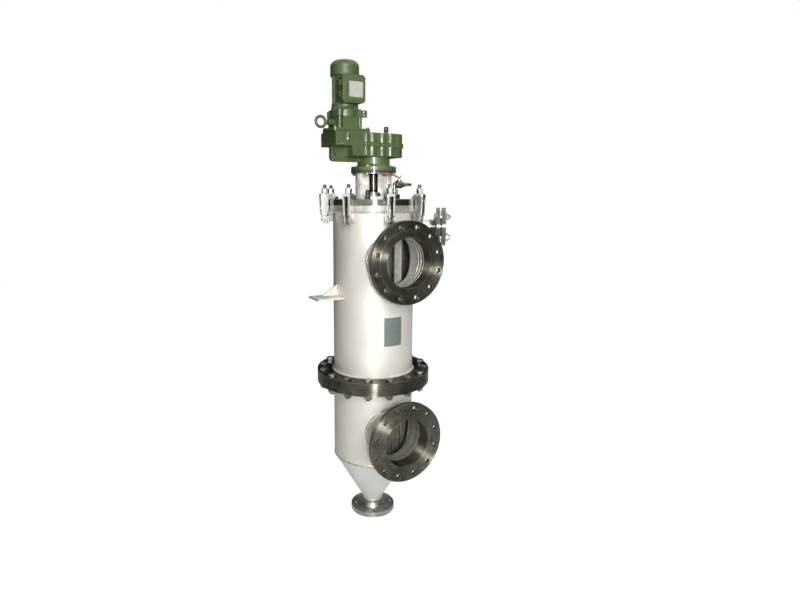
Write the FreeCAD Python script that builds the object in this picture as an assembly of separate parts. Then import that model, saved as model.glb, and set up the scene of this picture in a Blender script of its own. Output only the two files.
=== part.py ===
import FreeCAD, Part
import math
import os

# Self cleaning scraper filter: an upright vessel with a wedge wire screen, a slow scraper rotor,
# and a parallel shaft gear motor on a lantern above a clamped cover.
# Frame: origin at the centre of the drain flange's face, +Z up the vessel axis, both large
# nozzles face -Y, the support brackets stand at +X and -X. Millimetres.
# An azimuth is counted from -Y towards +X.

os.makedirs("parts", exist_ok=True)

V = FreeCAD.Vector
ORIGIN = V(0, 0, 0)
X_AXIS = V(1, 0, 0)
Y_AXIS = V(0, 1, 0)
Z_AXIS = V(0, 0, 1)

# Running clearance of a shaft in its bore, and the small gap between seated curved pieces
running = 0.05
seat = 0.1

# Vessel barrel
vessel_od = 355.6
vessel_wall = 4.0
lower_barrel = 344.0
upper_barrel = 706.0

# Cone and drain branch
cone_height = 225.0
stub_height = 10.0
drain_pipe_od = 88.9
drain_wall = 4.0
drain_flange_od = 200.0
drain_pcd = 160.0
drain_holes = 8
drain_hole_d = 18.0
drain_flange_t = 20.0
drain_hub_d = 108.0
drain_flange_height = 50.0

# Large nozzles, inlet above and filtrate outlet below
nozzle_reach = 300.0
nozzle_pipe_od = 219.1
nozzle_wall = 6.3
nozzle_flange_od = 340.0
nozzle_pcd = 295.0
nozzle_holes = 12
nozzle_hole_d = 22.0
nozzle_flange_t = 24.0
nozzle_raised_d = 268.0
nozzle_hub_d = 240.0
nozzle_flange_height = 62.0
raised_height = 3.0
hub_land = 12.0
inlet_above_flange = 505.0
outlet_above_cone = 150.0

# Small spare nozzle with its blind flange
side_azimuth = 56.25
side_below_ring = 68.0
side_reach = 293.0
side_pipe_od = 60.3
side_wall = 2.9
side_flange_od = 165.0
side_pcd = 125.0
side_holes = 4
side_hole_d = 18.0
side_flange_t = 18.0
side_raised_d = 102.0
side_hub_d = 74.0
side_flange_height = 45.0
side_gasket_t = 2.0
side_blind_t = 20.0
side_bolt_d = 16.0
side_bolt_flats = 24.0
side_bolt_head = 10.0
side_nut_height = 13.0
side_bolt_spare = 7.0

# Main body flange pair
body_flange_od = 505.0
body_pcd = 460.0
body_bolts = 16
body_hole_d = 22.0
body_flange_t = 26.0
body_gasket_t = 1.0
body_gasket_od = 438.0
body_gasket_id = 362.0
body_bolt_d = 20.0
body_bolt_flats = 30.0
body_bolt_head = 12.5
body_nut_height = 16.0
body_bolt_spare = 8.0
weld_leg = 7.0
shell_setback = 6.0

# Top ring and cover
ring_od = 404.0
ring_t = 25.0
cover_t = 26.0
cover_bore_d = 64.0
cover_seal_width = 8.0
cover_seal_t = 2.0
cover_seal_d = 374.0
chamfer = 1.5

# Clamps round the cover
clamp_count = 8
clamp_azimuth = -11.25
clamp_bolt_circle = 436.0
clamp_bolt_d = 16.0
clamp_flats = 24.0
clamp_nut_height = 22.0
clamp_stud_spare = 16.0
clamp_width = 34.0
clamp_cheek = 8.0
clamp_bridge = 12.0
clamp_rise = 23.0
clamp_nose_r = 189.0
clamp_back_r = 240.0
clamp_foot_r = 235.0
clamp_corner_r = 9.0
clamp_edge_r = 1.5
clamp_skirt = 20.0
clamp_rim_gap = 3.0
claw_lip_r = 190.0
claw_lip_t = 12.0
claw_gap = 1.0
claw_width = 29.0
claw_eye_margin = 1.0
eye_drop = 38.0
eye_d = 27.0
eye_width = 17.0
eye_slack = 0.4
pin_end = 6.0
pin_head_d = 20.0
pin_head_t = 3.0
split_pin_d = 3.0
split_pin_length = 26.0

# Support brackets on the upper barrel
bracket_above_flange = 333.0
bracket_reach = 290.0
bracket_width = 100.0
bracket_t = 8.5
gusset_inset = 35.0
gusset_height = 52.0
gusset_t = 8.0
bracket_hole_inset = 18.0
bracket_hole_y = 30.0
bracket_hole_d = 14.0

# Screen basket
screen_id = 292.0
screen_wall = 2.5
screen_rods = 40
screen_rod_width = 3.0
screen_rod_depth = 4.0
screen_rod_sink = 0.5
screen_collar_t = 2.0
screen_collar_od = 438.0
screen_end_ring = 12.0

# Foot bearing under the screen
foot_plate_t = 8.0
foot_arm_width = 10.0
foot_arm_height = 20.0
foot_arms = 3
foot_arm_azimuth = 30
foot_hub_d = 66.0
foot_hub_height = 34.0
foot_clear = 4.0

# Scraper rotor
shaft_d = 38.0
rotor_azimuth = 31.0
carrier_in_r = 109.0
carrier_out_r = 139.0
carrier_t = 8.0
carrier_top = 1290.0
blade_in_r = 122.0
blade_t = 6.0
blade_gap = 0.5
blade_segments = 3
blade_joint = 2.0
arm_levels = 5
arm_width = 30.0
arm_t = 6.0
arm_hub_d = 60.0
arm_hub_height = 30.0
arm_end_margin = 26.0

# Shaft gland on the cover
gland_d = 80.0
gland_flange_t = 10.0
gland_neck_d = 60.0
gland_neck_height = 18.0
packing_rings = 3

# Lantern between cover and gear unit
lantern_height = 123.0
lantern_od = 158.0
lantern_wall = 5.0
lantern_foot_t = 8.0
lantern_head_t = 12.0
lantern_flange_od = 196.0
lantern_bore_d = 120.0
lantern_bolts = 6
lantern_bolt_circle = 134.0
lantern_bolt_d = 8.0
lantern_bolt_flats = 13.0
lantern_bolt_head = 5.5
window_azimuth = -26.0
window_angle = 90.0
window_margin = 3.0

# Output flange of the gear unit
output_rim_t = 13.0
output_neck_d = 140.0
output_flare_d = 156.0
output_flare_height = 12.0
output_height = 55.0
output_bore_d = 44.0
output_bolts = 4
output_bolt_circle = 176.0
output_bolt_d = 10.0
output_bolt_flats = 16.0
output_bolt_head = 6.5

# Gear unit: two spur stages in a split cast housing
gear_module = 2.5
pressure_angle = 25.0
addendum = 0.8
dedendum = 1.0
flank_slack = 0.12
motor_teeth = 10
counter_gear_teeth = 36
counter_pinion_teeth = 13
output_teeth = 51
housing_wall = 6.5
housing_half_width = 74.0
housing_out_end = 113.0
housing_in_end = 214.5
housing_step = 133.0
housing_step_lean = 8.0
housing_deep = 98.0
housing_shallow = 58.0
housing_split = 49.0
housing_corner = 32.0
joint_band = 5.0
joint_band_t = 9.0
joint_band_x = -86.0
housing_edge = 3.0
side_boss_out = 6.0
side_boss_x = [-41.0, 5.0, 46.0]
side_boss_d = [41.0, 37.0, 37.0]
side_rib_x = -74.0
side_rib_d = 24.0
input_boss_x = -159.0
input_boss_d = 19.0
input_boss_drop = 38.0
input_rib_x = [-190.0, -180.0]
input_rib_d = 6.0
input_rib_height = 15.0
first_stage_low = 52.0
first_stage_face = 16.0
second_stage_low = 16.0
second_stage_face = 22.0
hollow_shaft_d = 50.0
output_bearing_od = 72.0
output_bearing_t = 10.0
counter_shaft_d = 17.0
small_bearing_od = 35.0
small_bearing_t = 9.0
bearing_floor = 3.0
bearing_boss_wall = 6.0
torque_arm_t = 22.0
torque_arm_in = 207.0
torque_arm_drop = 22.0
torque_hole_d = 12.0
torque_hole_x = 193.0
torque_hole_above = 8.0
torque_corner = 18.0
breather_x = 62.0
breather_flats = 17.0
breather_base = 8.0
breather_cap_d = 20.0
breather_cap = 28.0
breather_neck_d = 11.0
breather_neck = 4.0

# Motor adapter
adapter_plate_t = 14.0
adapter_in = 217.0
adapter_out = 46.0
adapter_half_width = 60.0
adapter_body_d = 112.0
adapter_height = 59.0
adapter_bore_d = 84.0
adapter_floor = 4.0
adapter_flange_t = 13.0
adapter_rib_t = 12.0
adapter_block = 70.0
adapter_column_d = 18.0
adapter_bolt_d = 8.0
adapter_bolt_flats = 13.0
adapter_bolt_head = 6.0
adapter_bolt_grip = 20.0
base_bolt_inset = 11.0

# Motor
motor_shaft_d = 16.0
motor_flange_t = 13.0
motor_lobes = 4
motor_lobe_d = 28.0
motor_lobe_circle = 130.0
long_ear_reach = 82.5
motor_disc_d = 124.0
shield_d = 112.0
shield_height = 25.0
shield_rim = 9.0
frame_d = 100.0
frame_wall = 5.0
frame_length = 117.0
fin_count = 24
fin_height = 4.0
fin_t = 2.0
end_shield_t = 10.0
rear_lug_height = 12.0
rear_lug_w = 12.0
rear_screw_d = 4.0
rear_screw_head = 2.5
rear_screw_above = 8.0
cowl_screws = 4
shield_pocket = 16.0
stator_id = 55.0
stator_length = 80.0
stator_start = 16.0
winding_height = 9.0
winding_wall = 12.0
air_gap = 0.5
motor_bearing_t = 10.0
cowl_d = 120.0
cowl_wall = 1.5
cowl_overlap = 2.0
cowl_height = 62.0
cowl_shoulder = 25.0
cowl_slots = 18
cowl_slot_w = 2.6
cowl_slot_in = 12.0
cowl_slot_out = 33.0
fan_d = 98.0
fan_hub_d = 26.0
fan_disc_t = 2.5
fan_blades = 7
fan_blade_t = 2.5
fan_blade_height = 20.0
fan_above_frame = 22.0

# Terminal box
box_width = 100.0
box_height = 109.0
box_front = 91.0
box_wall = 4.0
lid_t = 8.0
lid_bevel = 4.0
box_corner = 10.0
plug_flats = 22.0
plug_length = 8.0
plug_spread = 44.0
plug_depth = 30.0
box_back = 33.0
lid_overhang = 1.0
lid_screw_d = 6.0
lid_screw_inset = 9.0
lid_screw_length = 5.5
plate_width = 62.0
plate_height = 61.0
plate_t = 0.8
plate_shift = 6.5
plate_above = 51.5

# Lifting eye on the adapter
eye_ring_d = 42.0
eye_ring_wire = 12.0
eye_ring_x = 247.8
eye_ring_above = 25.0
eye_collar_d = 26.0
eye_collar_t = 8.0
eye_boss_d = 28.0
eye_boss_x = 208.0
eye_shank_end = 190.0

# Vent valve on the cover
vent_x = 39.0
vent_y = -113.5
vent_pipe_od = 13.5
vent_bore_d = 8.0
vent_above = 62.0
vent_offset = 21.0
vent_collar_d = 20.0
vent_bonnet_d = 18.0
vent_body_length = 26.0
vent_body_d = 33.0
vent_body_rise = 21.0
vent_ball_d = 20.0
vent_stem_d = 8.0
vent_stem_rise = 9.0
vent_union_flats = 21.0
vent_union_length = 14.0
vent_nipple_d = 12.0
vent_nipple_length = 34.0
vent_barb_d = 15.0
lever_t = 2.5
lever_width = 14.0
lever_foot = 10.0
lever_reach = 78.0
lever_lift = 8.0
lever_ramp = 16.0
lever_tail = 12.0
sleeve_t = 6.0
sleeve_width = 19.0
sleeve_end = 2.0
lever_nut_flats = 13.0
lever_nut_height = 5.0

# Black plug on the cover
plug_azimuth = -44.0
plug_circle_r = 96.0
plug_base_flats = 24.0
plug_base_t = 10.0
plug_knob_d = 18.0
plug_knob_height = 39.0

# Nameplate on the upper barrel
name_arc = 27.0
name_above_flange = 137.0
name_height = 123.0
name_t = 1.0

# Heights worked out from the sizes above
cone_foot = drain_flange_height + stub_height
cone_top = cone_foot + cone_height
lower_flange_low = cone_top + lower_barrel
lower_flange_face = lower_flange_low + body_flange_t
collar_low = lower_flange_face + body_gasket_t
collar_high = collar_low + screen_collar_t
upper_flange_face = collar_high + body_gasket_t
upper_flange_top = upper_flange_face + body_flange_t
ring_low = upper_flange_top + upper_barrel
ring_top = ring_low + ring_t
cover_top = ring_top + cover_t
lantern_top = cover_top + lantern_height
inlet_height = upper_flange_top + inlet_above_flange
outlet_height = cone_top + outlet_above_cone
side_height = ring_low - side_below_ring
bracket_low = upper_flange_top + bracket_above_flange
housing_low = lantern_top + output_height
housing_top = housing_low + housing_deep
housing_joint = housing_low + housing_split
adapter_low = housing_top
motor_low = adapter_low + adapter_plate_t + adapter_height
frame_low = motor_low + motor_flange_t + shield_height
frame_top = frame_low + frame_length
cowl_low = frame_top - cowl_overlap
cowl_top = cowl_low + cowl_height
box_low = frame_low

# Radii and centre distances worked out from the sizes above
vessel_r = vessel_od / 2
vessel_in_r = vessel_r - vessel_wall
nozzle_r = nozzle_pipe_od / 2
nozzle_bore_r = nozzle_r - nozzle_wall
side_r = side_pipe_od / 2
side_bore_r = side_r - side_wall
drain_r = drain_pipe_od / 2
drain_bore_r = drain_r - drain_wall
shaft_r = shaft_d / 2
screen_in_r = screen_id / 2
screen_out_r = screen_in_r + screen_wall
clamp_bolt_r = clamp_bolt_circle / 2
counter_x = -gear_module * (output_teeth + counter_pinion_teeth) / 2
motor_x = counter_x - gear_module * (counter_gear_teeth + motor_teeth) / 2


def rod(radius, low, high, x=0.0, y=0.0):
    return Part.makeCylinder(radius, high - low, V(x, y, low))


def ring(outer, inner, low, high, x=0.0, y=0.0):
    return rod(outer, low, high, x, y).cut(rod(inner, low - 1, high + 1, x, y))


def block(x0, x1, y0, y1, z0, z1):
    return Part.makeBox(x1 - x0, y1 - y0, z1 - z0, V(x0, y0, z0))


def outline(points):
    corners = [V(*p) for p in points]
    return Part.Face(Part.makePolygon(corners + corners[:1]))


def turned(points):
    """Solid of revolution about Z from (radius, height) points."""
    return outline([(r, 0, z) for r, z in points]).revolve(ORIGIN, Z_AXIS, 360)


def radial_plate(points, width):
    """Plate of (radius, height) points in the XZ plane, as wide as said along Y."""
    return outline([(r, -width / 2, z) for r, z in points]).extrude(V(0, width, 0))


def hexagon(flats, low, high, x=0.0, y=0.0):
    """Hexagonal prism with two flats facing along X."""
    corner = flats / math.sqrt(3)
    points = [(x + corner * math.cos(math.radians(30 + 60 * i)),
               y + corner * math.sin(math.radians(30 + 60 * i)), low) for i in range(6)]
    return outline(points).extrude(V(0, 0, high - low))


def moved(shape, x=0.0, y=0.0, z=0.0):
    copy = shape.copy()
    copy.translate(V(x, y, z))
    return copy


def spun(shape, degrees, x=0.0, y=0.0):
    copy = shape.copy()
    copy.rotate(V(x, y, 0), Z_AXIS, degrees)
    return copy


def around(shape, count, first=0.0, x=0.0, y=0.0):
    """Copies of a shape about a vertical axis, the first one turned by first degrees."""
    return [spun(shape, first + 360 * i / count, x, y) for i in range(count)]


def at_azimuth(shape, azimuth):
    """Turns what was built along +X to an azimuth counted from -Y."""
    return spun(shape, azimuth - 90)


def facing(shape, azimuth, height):
    """Turns what was built along +Z to point outwards at an azimuth and height."""
    copy = shape.copy()
    copy.rotate(ORIGIN, X_AXIS, 90)
    copy.rotate(ORIGIN, Z_AXIS, azimuth)
    copy.translate(V(0, 0, height))
    return copy


def union(shapes):
    first, rest = shapes[0], shapes[1:]
    return first.fuse(rest).removeSplitter() if rest else first


def save(node, shapes):
    group = shapes if isinstance(shapes, list) else [shapes]
    solids = [solid for shape in group for solid in shape.Solids]
    Part.makeCompound(solids).exportStep("parts/" + node + ".step")


def bolt_holes(circle, count, hole_d, low, high):
    """Holes on a circle that straddle the centre lines."""
    return around(rod(hole_d / 2, low, high, circle / 2), count, 180.0 / count)


def weld_neck(face, height, thickness, od, raised_d, hub_d, pipe_od, bore_r):
    """Weld neck flange along +Z with its face at the height face, flat if raised_d is None."""
    rim = face - raised_height
    back = face - thickness
    front = [(od / 2, face)]
    if raised_d:
        front = [(raised_d / 2, face), (raised_d / 2, rim), (od / 2, rim)]
    return turned([(bore_r, face)] + front
                  + [(od / 2, back), (hub_d / 2, back), (pipe_od / 2, face - height + hub_land),
                     (pipe_od / 2, face - height), (bore_r, face - height)])


def hex_bolt(d, flats, head, head_low, tip):
    """Bolt along Z whose head starts at head_low and whose shank ends at tip."""
    if tip < head_low:
        return hexagon(flats, head_low, head_low + head).fuse(rod(d / 2, tip, head_low))
    return hexagon(flats, head_low - head, head_low).fuse(rod(d / 2, head_low, tip))


def nut(d, flats, low, high):
    return hexagon(flats, low, high).cut(rod(d / 2 + running, low - 1, high + 1))


# Drain branch and cone

def make_drain_flange():
    face_down = weld_neck(0, drain_flange_height, drain_flange_t, drain_flange_od,
                          None, drain_hub_d, drain_pipe_od, drain_bore_r)
    flange = face_down.mirror(ORIGIN, Z_AXIS)
    return flange.cut(bolt_holes(drain_pcd, drain_holes, drain_hole_d, -1, drain_flange_t + 1))


def make_cone():
    return turned([(drain_r, drain_flange_height), (drain_r, cone_foot), (vessel_r, cone_top),
                   (vessel_in_r, cone_top), (drain_bore_r, cone_foot),
                   (drain_bore_r, drain_flange_height)])


# Barrels and large nozzles

def nozzle_hole(bore_r, azimuth, height):
    return facing(rod(bore_r, vessel_r / 2, vessel_r * 2), azimuth, height)


def weld_fillet(height, direction):
    """Fillet weld ring between the barrel and a flange face at a height."""
    return turned([(vessel_r, height), (vessel_r + weld_leg, height),
                   (vessel_r, height + direction * weld_leg)])


def make_lower_shell():
    shell = ring(vessel_r, vessel_in_r, cone_top, lower_flange_face - shell_setback)
    shell = union([shell, weld_fillet(lower_flange_low, -1)])
    return shell.cut(nozzle_hole(nozzle_bore_r, 0, outlet_height))


def make_upper_shell():
    shell = ring(vessel_r, vessel_in_r, upper_flange_face + shell_setback, ring_top - shell_setback)
    shell = union([shell, weld_fillet(upper_flange_top, 1), weld_fillet(ring_low, -1)])
    shell = shell.cut(nozzle_hole(nozzle_bore_r, 0, inlet_height))
    return shell.cut(nozzle_hole(side_bore_r, side_azimuth, side_height))


def neck(pipe_r, bore_r, hub_end, azimuth, height):
    """Branch pipe from the flange hub down to the barrel's outside."""
    pipe = facing(ring(pipe_r, bore_r, vessel_r / 2, hub_end), azimuth, height)
    return pipe.cut(rod(vessel_r + seat, height - vessel_r, height + vessel_r))


def make_nozzle_neck(height):
    return neck(nozzle_r, nozzle_bore_r, nozzle_reach - nozzle_flange_height, 0, height)


def make_nozzle_flange(height):
    flange = weld_neck(nozzle_reach, nozzle_flange_height, nozzle_flange_t, nozzle_flange_od,
                       nozzle_raised_d, nozzle_hub_d, nozzle_pipe_od, nozzle_bore_r)
    holes = bolt_holes(nozzle_pcd, nozzle_holes, nozzle_hole_d,
                       nozzle_reach - nozzle_flange_t - 1, nozzle_reach + 1)
    return facing(flange.cut(holes), 0, height)


# Spare nozzle

def make_side_neck():
    return neck(side_r, side_bore_r, side_reach - side_flange_height, side_azimuth, side_height)


def make_side_flange():
    flange = weld_neck(side_reach, side_flange_height, side_flange_t, side_flange_od,
                       side_raised_d, side_hub_d, side_pipe_od, side_bore_r)
    holes = bolt_holes(side_pcd, side_holes, side_hole_d,
                       side_reach - side_flange_t - 1, side_reach + 1)
    return facing(flange.cut(holes), side_azimuth, side_height)


side_blind_face = side_reach + side_gasket_t
side_blind_back = side_blind_face + side_blind_t


def make_side_gasket():
    gasket = ring(side_raised_d / 2, side_r, side_reach, side_blind_face)
    return facing(gasket, side_azimuth, side_height)


def make_side_blind_cover():
    rim = side_blind_face + raised_height
    blind = turned([(0, side_blind_face), (side_raised_d / 2, side_blind_face),
                    (side_raised_d / 2, rim), (side_flange_od / 2, rim),
                    (side_flange_od / 2, side_blind_back), (0, side_blind_back)])
    holes = bolt_holes(side_pcd, side_holes, side_hole_d, side_reach, side_blind_back + 1)
    return facing(blind.cut(holes), side_azimuth, side_height)


def make_side_bolts():
    tip = side_blind_back + side_nut_height + side_bolt_spare
    bolt = hex_bolt(side_bolt_d, side_bolt_flats, side_bolt_head,
                    side_reach - side_flange_t, tip)
    fixing = [bolt, nut(side_bolt_d, side_bolt_flats, side_blind_back,
                        side_blind_back + side_nut_height)]
    placed = [moved(piece, side_pcd / 2) for piece in fixing]
    return [facing(copy, side_azimuth, side_height) for piece in placed
            for copy in around(piece, side_holes, 180.0 / side_holes)]


# Main flange pair

def body_flange(low):
    flange = ring(body_flange_od / 2, vessel_r + seat, low, low + body_flange_t)
    return flange.cut(bolt_holes(body_pcd, body_bolts, body_hole_d, low - 1,
                                 low + body_flange_t + 1))


def make_body_gaskets():
    lows = [lower_flange_face, collar_high]
    return [ring(body_gasket_od / 2, body_gasket_id / 2, low, low + body_gasket_t)
            for low in lows]


def make_body_bolts():
    bolt = hex_bolt(body_bolt_d, body_bolt_flats, body_bolt_head, upper_flange_top,
                    lower_flange_low - body_nut_height - body_bolt_spare)
    fixing = [bolt, nut(body_bolt_d, body_bolt_flats, lower_flange_low - body_nut_height,
                        lower_flange_low)]
    placed = [moved(piece, body_pcd / 2) for piece in fixing]
    return [copy for piece in placed for copy in around(piece, body_bolts, 180.0 / body_bolts)]


# Top ring, cover and seal

def seal_ring(low):
    middle = cover_seal_d / 2
    return ring(middle + cover_seal_width / 2, middle - cover_seal_width / 2,
                low, low + cover_seal_t)


def make_top_ring():
    r = ring_od / 2
    blank = turned([(vessel_r + seat, ring_low), (r - chamfer, ring_low), (r, ring_low + chamfer),
                    (r, ring_top - chamfer), (r - chamfer, ring_top),
                    (vessel_r + seat, ring_top)])
    return blank.cut(seal_ring(ring_top - cover_seal_t))


def make_cover():
    r = ring_od / 2
    disc = turned([(cover_bore_d / 2, ring_top), (r - chamfer, ring_top), (r, ring_top + chamfer),
                   (r, cover_top - chamfer), (r - chamfer, cover_top),
                   (cover_bore_d / 2, cover_top)])
    vent = rod(vent_bore_d / 2, ring_top - 1, cover_top + 1, vent_x, vent_y)
    return disc.cut(vent)


# Cover clamps, built at +X and turned to their places

clamp_top = cover_top + clamp_rise
clamp_foot = ring_low - clamp_skirt
eye_height = ring_low - eye_drop


def rounded(solid, radius, chosen):
    """Rounds the edges along Y whose (radius, height) place is chosen."""
    edges = [edge for edge in solid.Edges
             if abs(edge.Vertexes[0].Y - edge.Vertexes[-1].Y) > 1.0
             and chosen(edge.Vertexes[0].X, edge.Vertexes[0].Z)]
    return solid.makeFillet(radius, edges)


def make_clamp_yoke():
    rim_r = ring_od / 2 + clamp_rim_gap
    side = [(clamp_nose_r, cover_top), (clamp_nose_r, cover_top + 9.0), (rim_r, clamp_top),
            (clamp_back_r, clamp_top), (clamp_back_r, clamp_top - 10.0),
            (clamp_foot_r, clamp_foot), (clamp_bolt_r - 5.0, clamp_foot),
            (rim_r, ring_low + 2.0), (rim_r, cover_top)]
    solid = radial_plate(side, clamp_width)
    solid = rounded(solid, clamp_corner_r, lambda x, z: x > clamp_foot_r - 1 and z > cover_top)
    solid = rounded(solid, clamp_corner_r / 2, lambda x, z: x > clamp_foot_r - 1 and z < cover_top)
    web_out = clamp_bolt_r - clamp_bolt_d / 2 - 1.0
    inside = clamp_width / 2 - clamp_cheek
    channel = block(web_out, clamp_back_r + 1, -inside, inside,
                    clamp_foot - 1, clamp_top - clamp_bridge)
    claw_room = block(rim_r - 1, clamp_back_r + 1, -inside, inside, clamp_foot - 1, ring_low + 1.0)
    hole = rod(clamp_bolt_d / 2 + 1.0, clamp_foot, clamp_top + 1, clamp_bolt_r)
    half = clamp_width / 2
    outer_edges = [edge for edge in solid.Edges
                   if all(abs(abs(v.Y) - half) < 0.01 for v in edge.Vertexes)
                   and abs(edge.CenterOfMass.y) > half - 0.1
                   and edge.CenterOfMass.x > rim_r + 1]
    solid = solid.makeChamfer(clamp_edge_r, outer_edges)
    return solid.cut([channel, claw_room, hole])


def make_clamp_claw():
    """Hook under the ring with a fork below it that holds the eyebolt's pin."""
    low = eye_height - eye_d / 2 + claw_eye_margin
    rim_r = ring_od / 2 + clamp_rim_gap
    back = clamp_bolt_r + eye_d / 2
    shelf = clamp_foot - claw_gap
    side = [(claw_lip_r, ring_low), (claw_lip_r, ring_low - claw_lip_t),
            (rim_r - 4.0, low + 8.0), (clamp_bolt_r - 8.0, low), (back - 8.0, low),
            (back, low + 8.0), (back, shelf - 8.0), (back - 4.0, shelf), (rim_r, shelf),
            (rim_r, ring_low)]
    solid = radial_plate(side, claw_width)
    gap = eye_width / 2 + eye_slack
    fork = block(clamp_bolt_r - eye_d / 2 - eye_slack, back + 1, -gap, gap, low - 1, ring_low + 1)
    return solid.cut([fork, clamp_pin_bore(claw_width + 2)])


def clamp_pin_bore(length):
    bore = Part.makeCylinder(clamp_bolt_d / 2 + seat, length, V(0, -length / 2, 0), Y_AXIS)
    return moved(bore, clamp_bolt_r, 0, eye_height)


def make_clamp_eyebolt():
    tip = clamp_top + clamp_nut_height + clamp_stud_spare
    eye = Part.makeCylinder(eye_d / 2, eye_width, V(0, -eye_width / 2, 0), Y_AXIS)
    eye = moved(eye, clamp_bolt_r, 0, eye_height)
    shank = rod(clamp_bolt_d / 2, eye_height, tip, clamp_bolt_r)
    return union([eye, shank]).cut(clamp_pin_bore(eye_width + 2))


def make_clamp_pins():
    head_y = -claw_width / 2 - seat - pin_head_t
    end_y = claw_width / 2 + pin_end
    pin = Part.makeCylinder(clamp_bolt_d / 2, end_y - head_y, V(0, head_y, 0), Y_AXIS)
    head = Part.makeCylinder(pin_head_d / 2, pin_head_t, V(0, head_y, 0), Y_AXIS)
    cotter_y = end_y - split_pin_d
    cotter = Part.makeCylinder(split_pin_d / 2, split_pin_length,
                               V(0, cotter_y, -split_pin_length / 2), Z_AXIS)
    pin = union([pin, head]).cut(cotter)
    return [moved(piece, clamp_bolt_r, 0, eye_height) for piece in (pin, cotter)]


def make_clamp_nut():
    shape = nut(clamp_bolt_d, clamp_flats, clamp_top, clamp_top + clamp_nut_height)
    return moved(shape, clamp_bolt_r)


def round_the_cover(pieces):
    return [copy for piece in pieces
            for copy in around(piece, clamp_count, clamp_azimuth - 90)]


# Support brackets

def bracket(side):
    inner = vessel_r + seat
    half = bracket_width / 2
    plate = block(0, bracket_reach, -half, half, bracket_low, bracket_low + bracket_t)
    top = bracket_low + bracket_t
    gusset_out = bracket_reach - gusset_inset
    gusset = radial_plate([(0, top - 1), (gusset_out, top - 1), (gusset_out, top),
                           (inner, top + gusset_height), (0, top + gusset_height)], gusset_t)
    solid = union([plate, gusset]).cut(rod(inner, bracket_low - 1, top + gusset_height + 1))
    hole_x = bracket_reach - bracket_hole_inset
    holes = [rod(bracket_hole_d / 2, bracket_low - 1, top + 1, hole_x, y)
             for y in (-bracket_hole_y, bracket_hole_y)]
    return spun(solid.cut(holes), side)


# Screen basket and the bearing that carries the rotor's foot

seat_ring_top = cone_top + foot_plate_t


def make_filter_screen():
    foot = seat_ring_top
    tube = turned([(screen_in_r, foot), (screen_out_r + screen_rod_depth, foot),
                   (screen_out_r + screen_rod_depth, foot + screen_end_ring),
                   (screen_out_r, foot + screen_end_ring), (screen_out_r, collar_low),
                   (screen_collar_od / 2, collar_low), (screen_collar_od / 2, collar_high),
                   (screen_in_r, collar_high)])
    bar = block(screen_out_r - screen_rod_sink, screen_out_r + screen_rod_depth,
                -screen_rod_width / 2, screen_rod_width / 2,
                foot + screen_end_ring, collar_low)
    return tube.fuse(around(bar, screen_rods))


def make_foot_bearing():
    plate = ring(vessel_in_r - seat, screen_in_r, cone_top, seat_ring_top)
    hub_top = seat_ring_top
    hub_low = hub_top - foot_hub_height
    arm = block(0, screen_in_r + 4.0, -foot_arm_width / 2, foot_arm_width / 2,
                hub_top - foot_arm_height, hub_top)
    arm = arm.cut(ring(vessel_r, screen_in_r, cone_top - foot_arm_height - 1, cone_top))
    hub = rod(foot_hub_d / 2, hub_low, hub_top)
    body = union([plate, hub] + around(arm, foot_arms, foot_arm_azimuth))
    return body.cut(rod(shaft_r + running, hub_low + foot_clear, hub_top + 1))


# Scraper rotor, its first side built at +X

def arm_heights():
    low = seat_ring_top + arm_end_margin
    step = (carrier_top - arm_end_margin / 2 - low) / (arm_levels - 1)
    return [low + step * i for i in range(arm_levels)]


def make_drive_shaft():
    foot = seat_ring_top - foot_hub_height + foot_clear + 1.0
    return rod(shaft_r, foot, housing_top - housing_wall - 5.0)


def make_scraper_frame():
    low = seat_ring_top + blade_joint
    pieces = []
    for height in arm_heights():
        pieces.append(ring(arm_hub_d / 2, shaft_r, height - arm_hub_height / 2,
                           height + arm_hub_height / 2))
        arm = block(arm_hub_d / 2 - 3.0, carrier_in_r + 1, -arm_width / 2, arm_width / 2,
                    height - arm_t / 2, height + arm_t / 2)
        pieces += around(arm, 2)
    carrier = block(carrier_in_r, carrier_out_r, -carrier_t / 2, carrier_t / 2, low, carrier_top)
    pieces += around(carrier, 2)
    return at_azimuth(union(pieces), rotor_azimuth)


def make_scraper_blades():
    low = seat_ring_top + blade_joint
    length = (carrier_top - low) / blade_segments
    tip = screen_in_r - blade_gap
    blade = block(blade_in_r, tip, carrier_t / 2, carrier_t / 2 + blade_t,
                  low, low + length - blade_joint)
    blades = [moved(copy, z=length * i) for i in range(blade_segments)
              for copy in around(blade, 2)]
    return [at_azimuth(copy, rotor_azimuth) for copy in blades]


# Gland with its packing, round the shaft above and in the cover

def make_shaft_gland():
    flange_top = cover_top + gland_flange_t
    bore = shaft_r + running
    collar = turned([(bore, cover_top), (gland_d / 2, cover_top), (gland_d / 2, flange_top),
                     (gland_neck_d / 2, flange_top),
                     (gland_neck_d / 2, flange_top + gland_neck_height),
                     (bore, flange_top + gland_neck_height)])
    pitch = cover_t / packing_rings
    packing = [ring(cover_bore_d / 2 - seat, bore, ring_top + pitch * i,
                    ring_top + pitch * (i + 1)) for i in range(packing_rings)]
    return [collar] + packing


# Lantern

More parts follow.
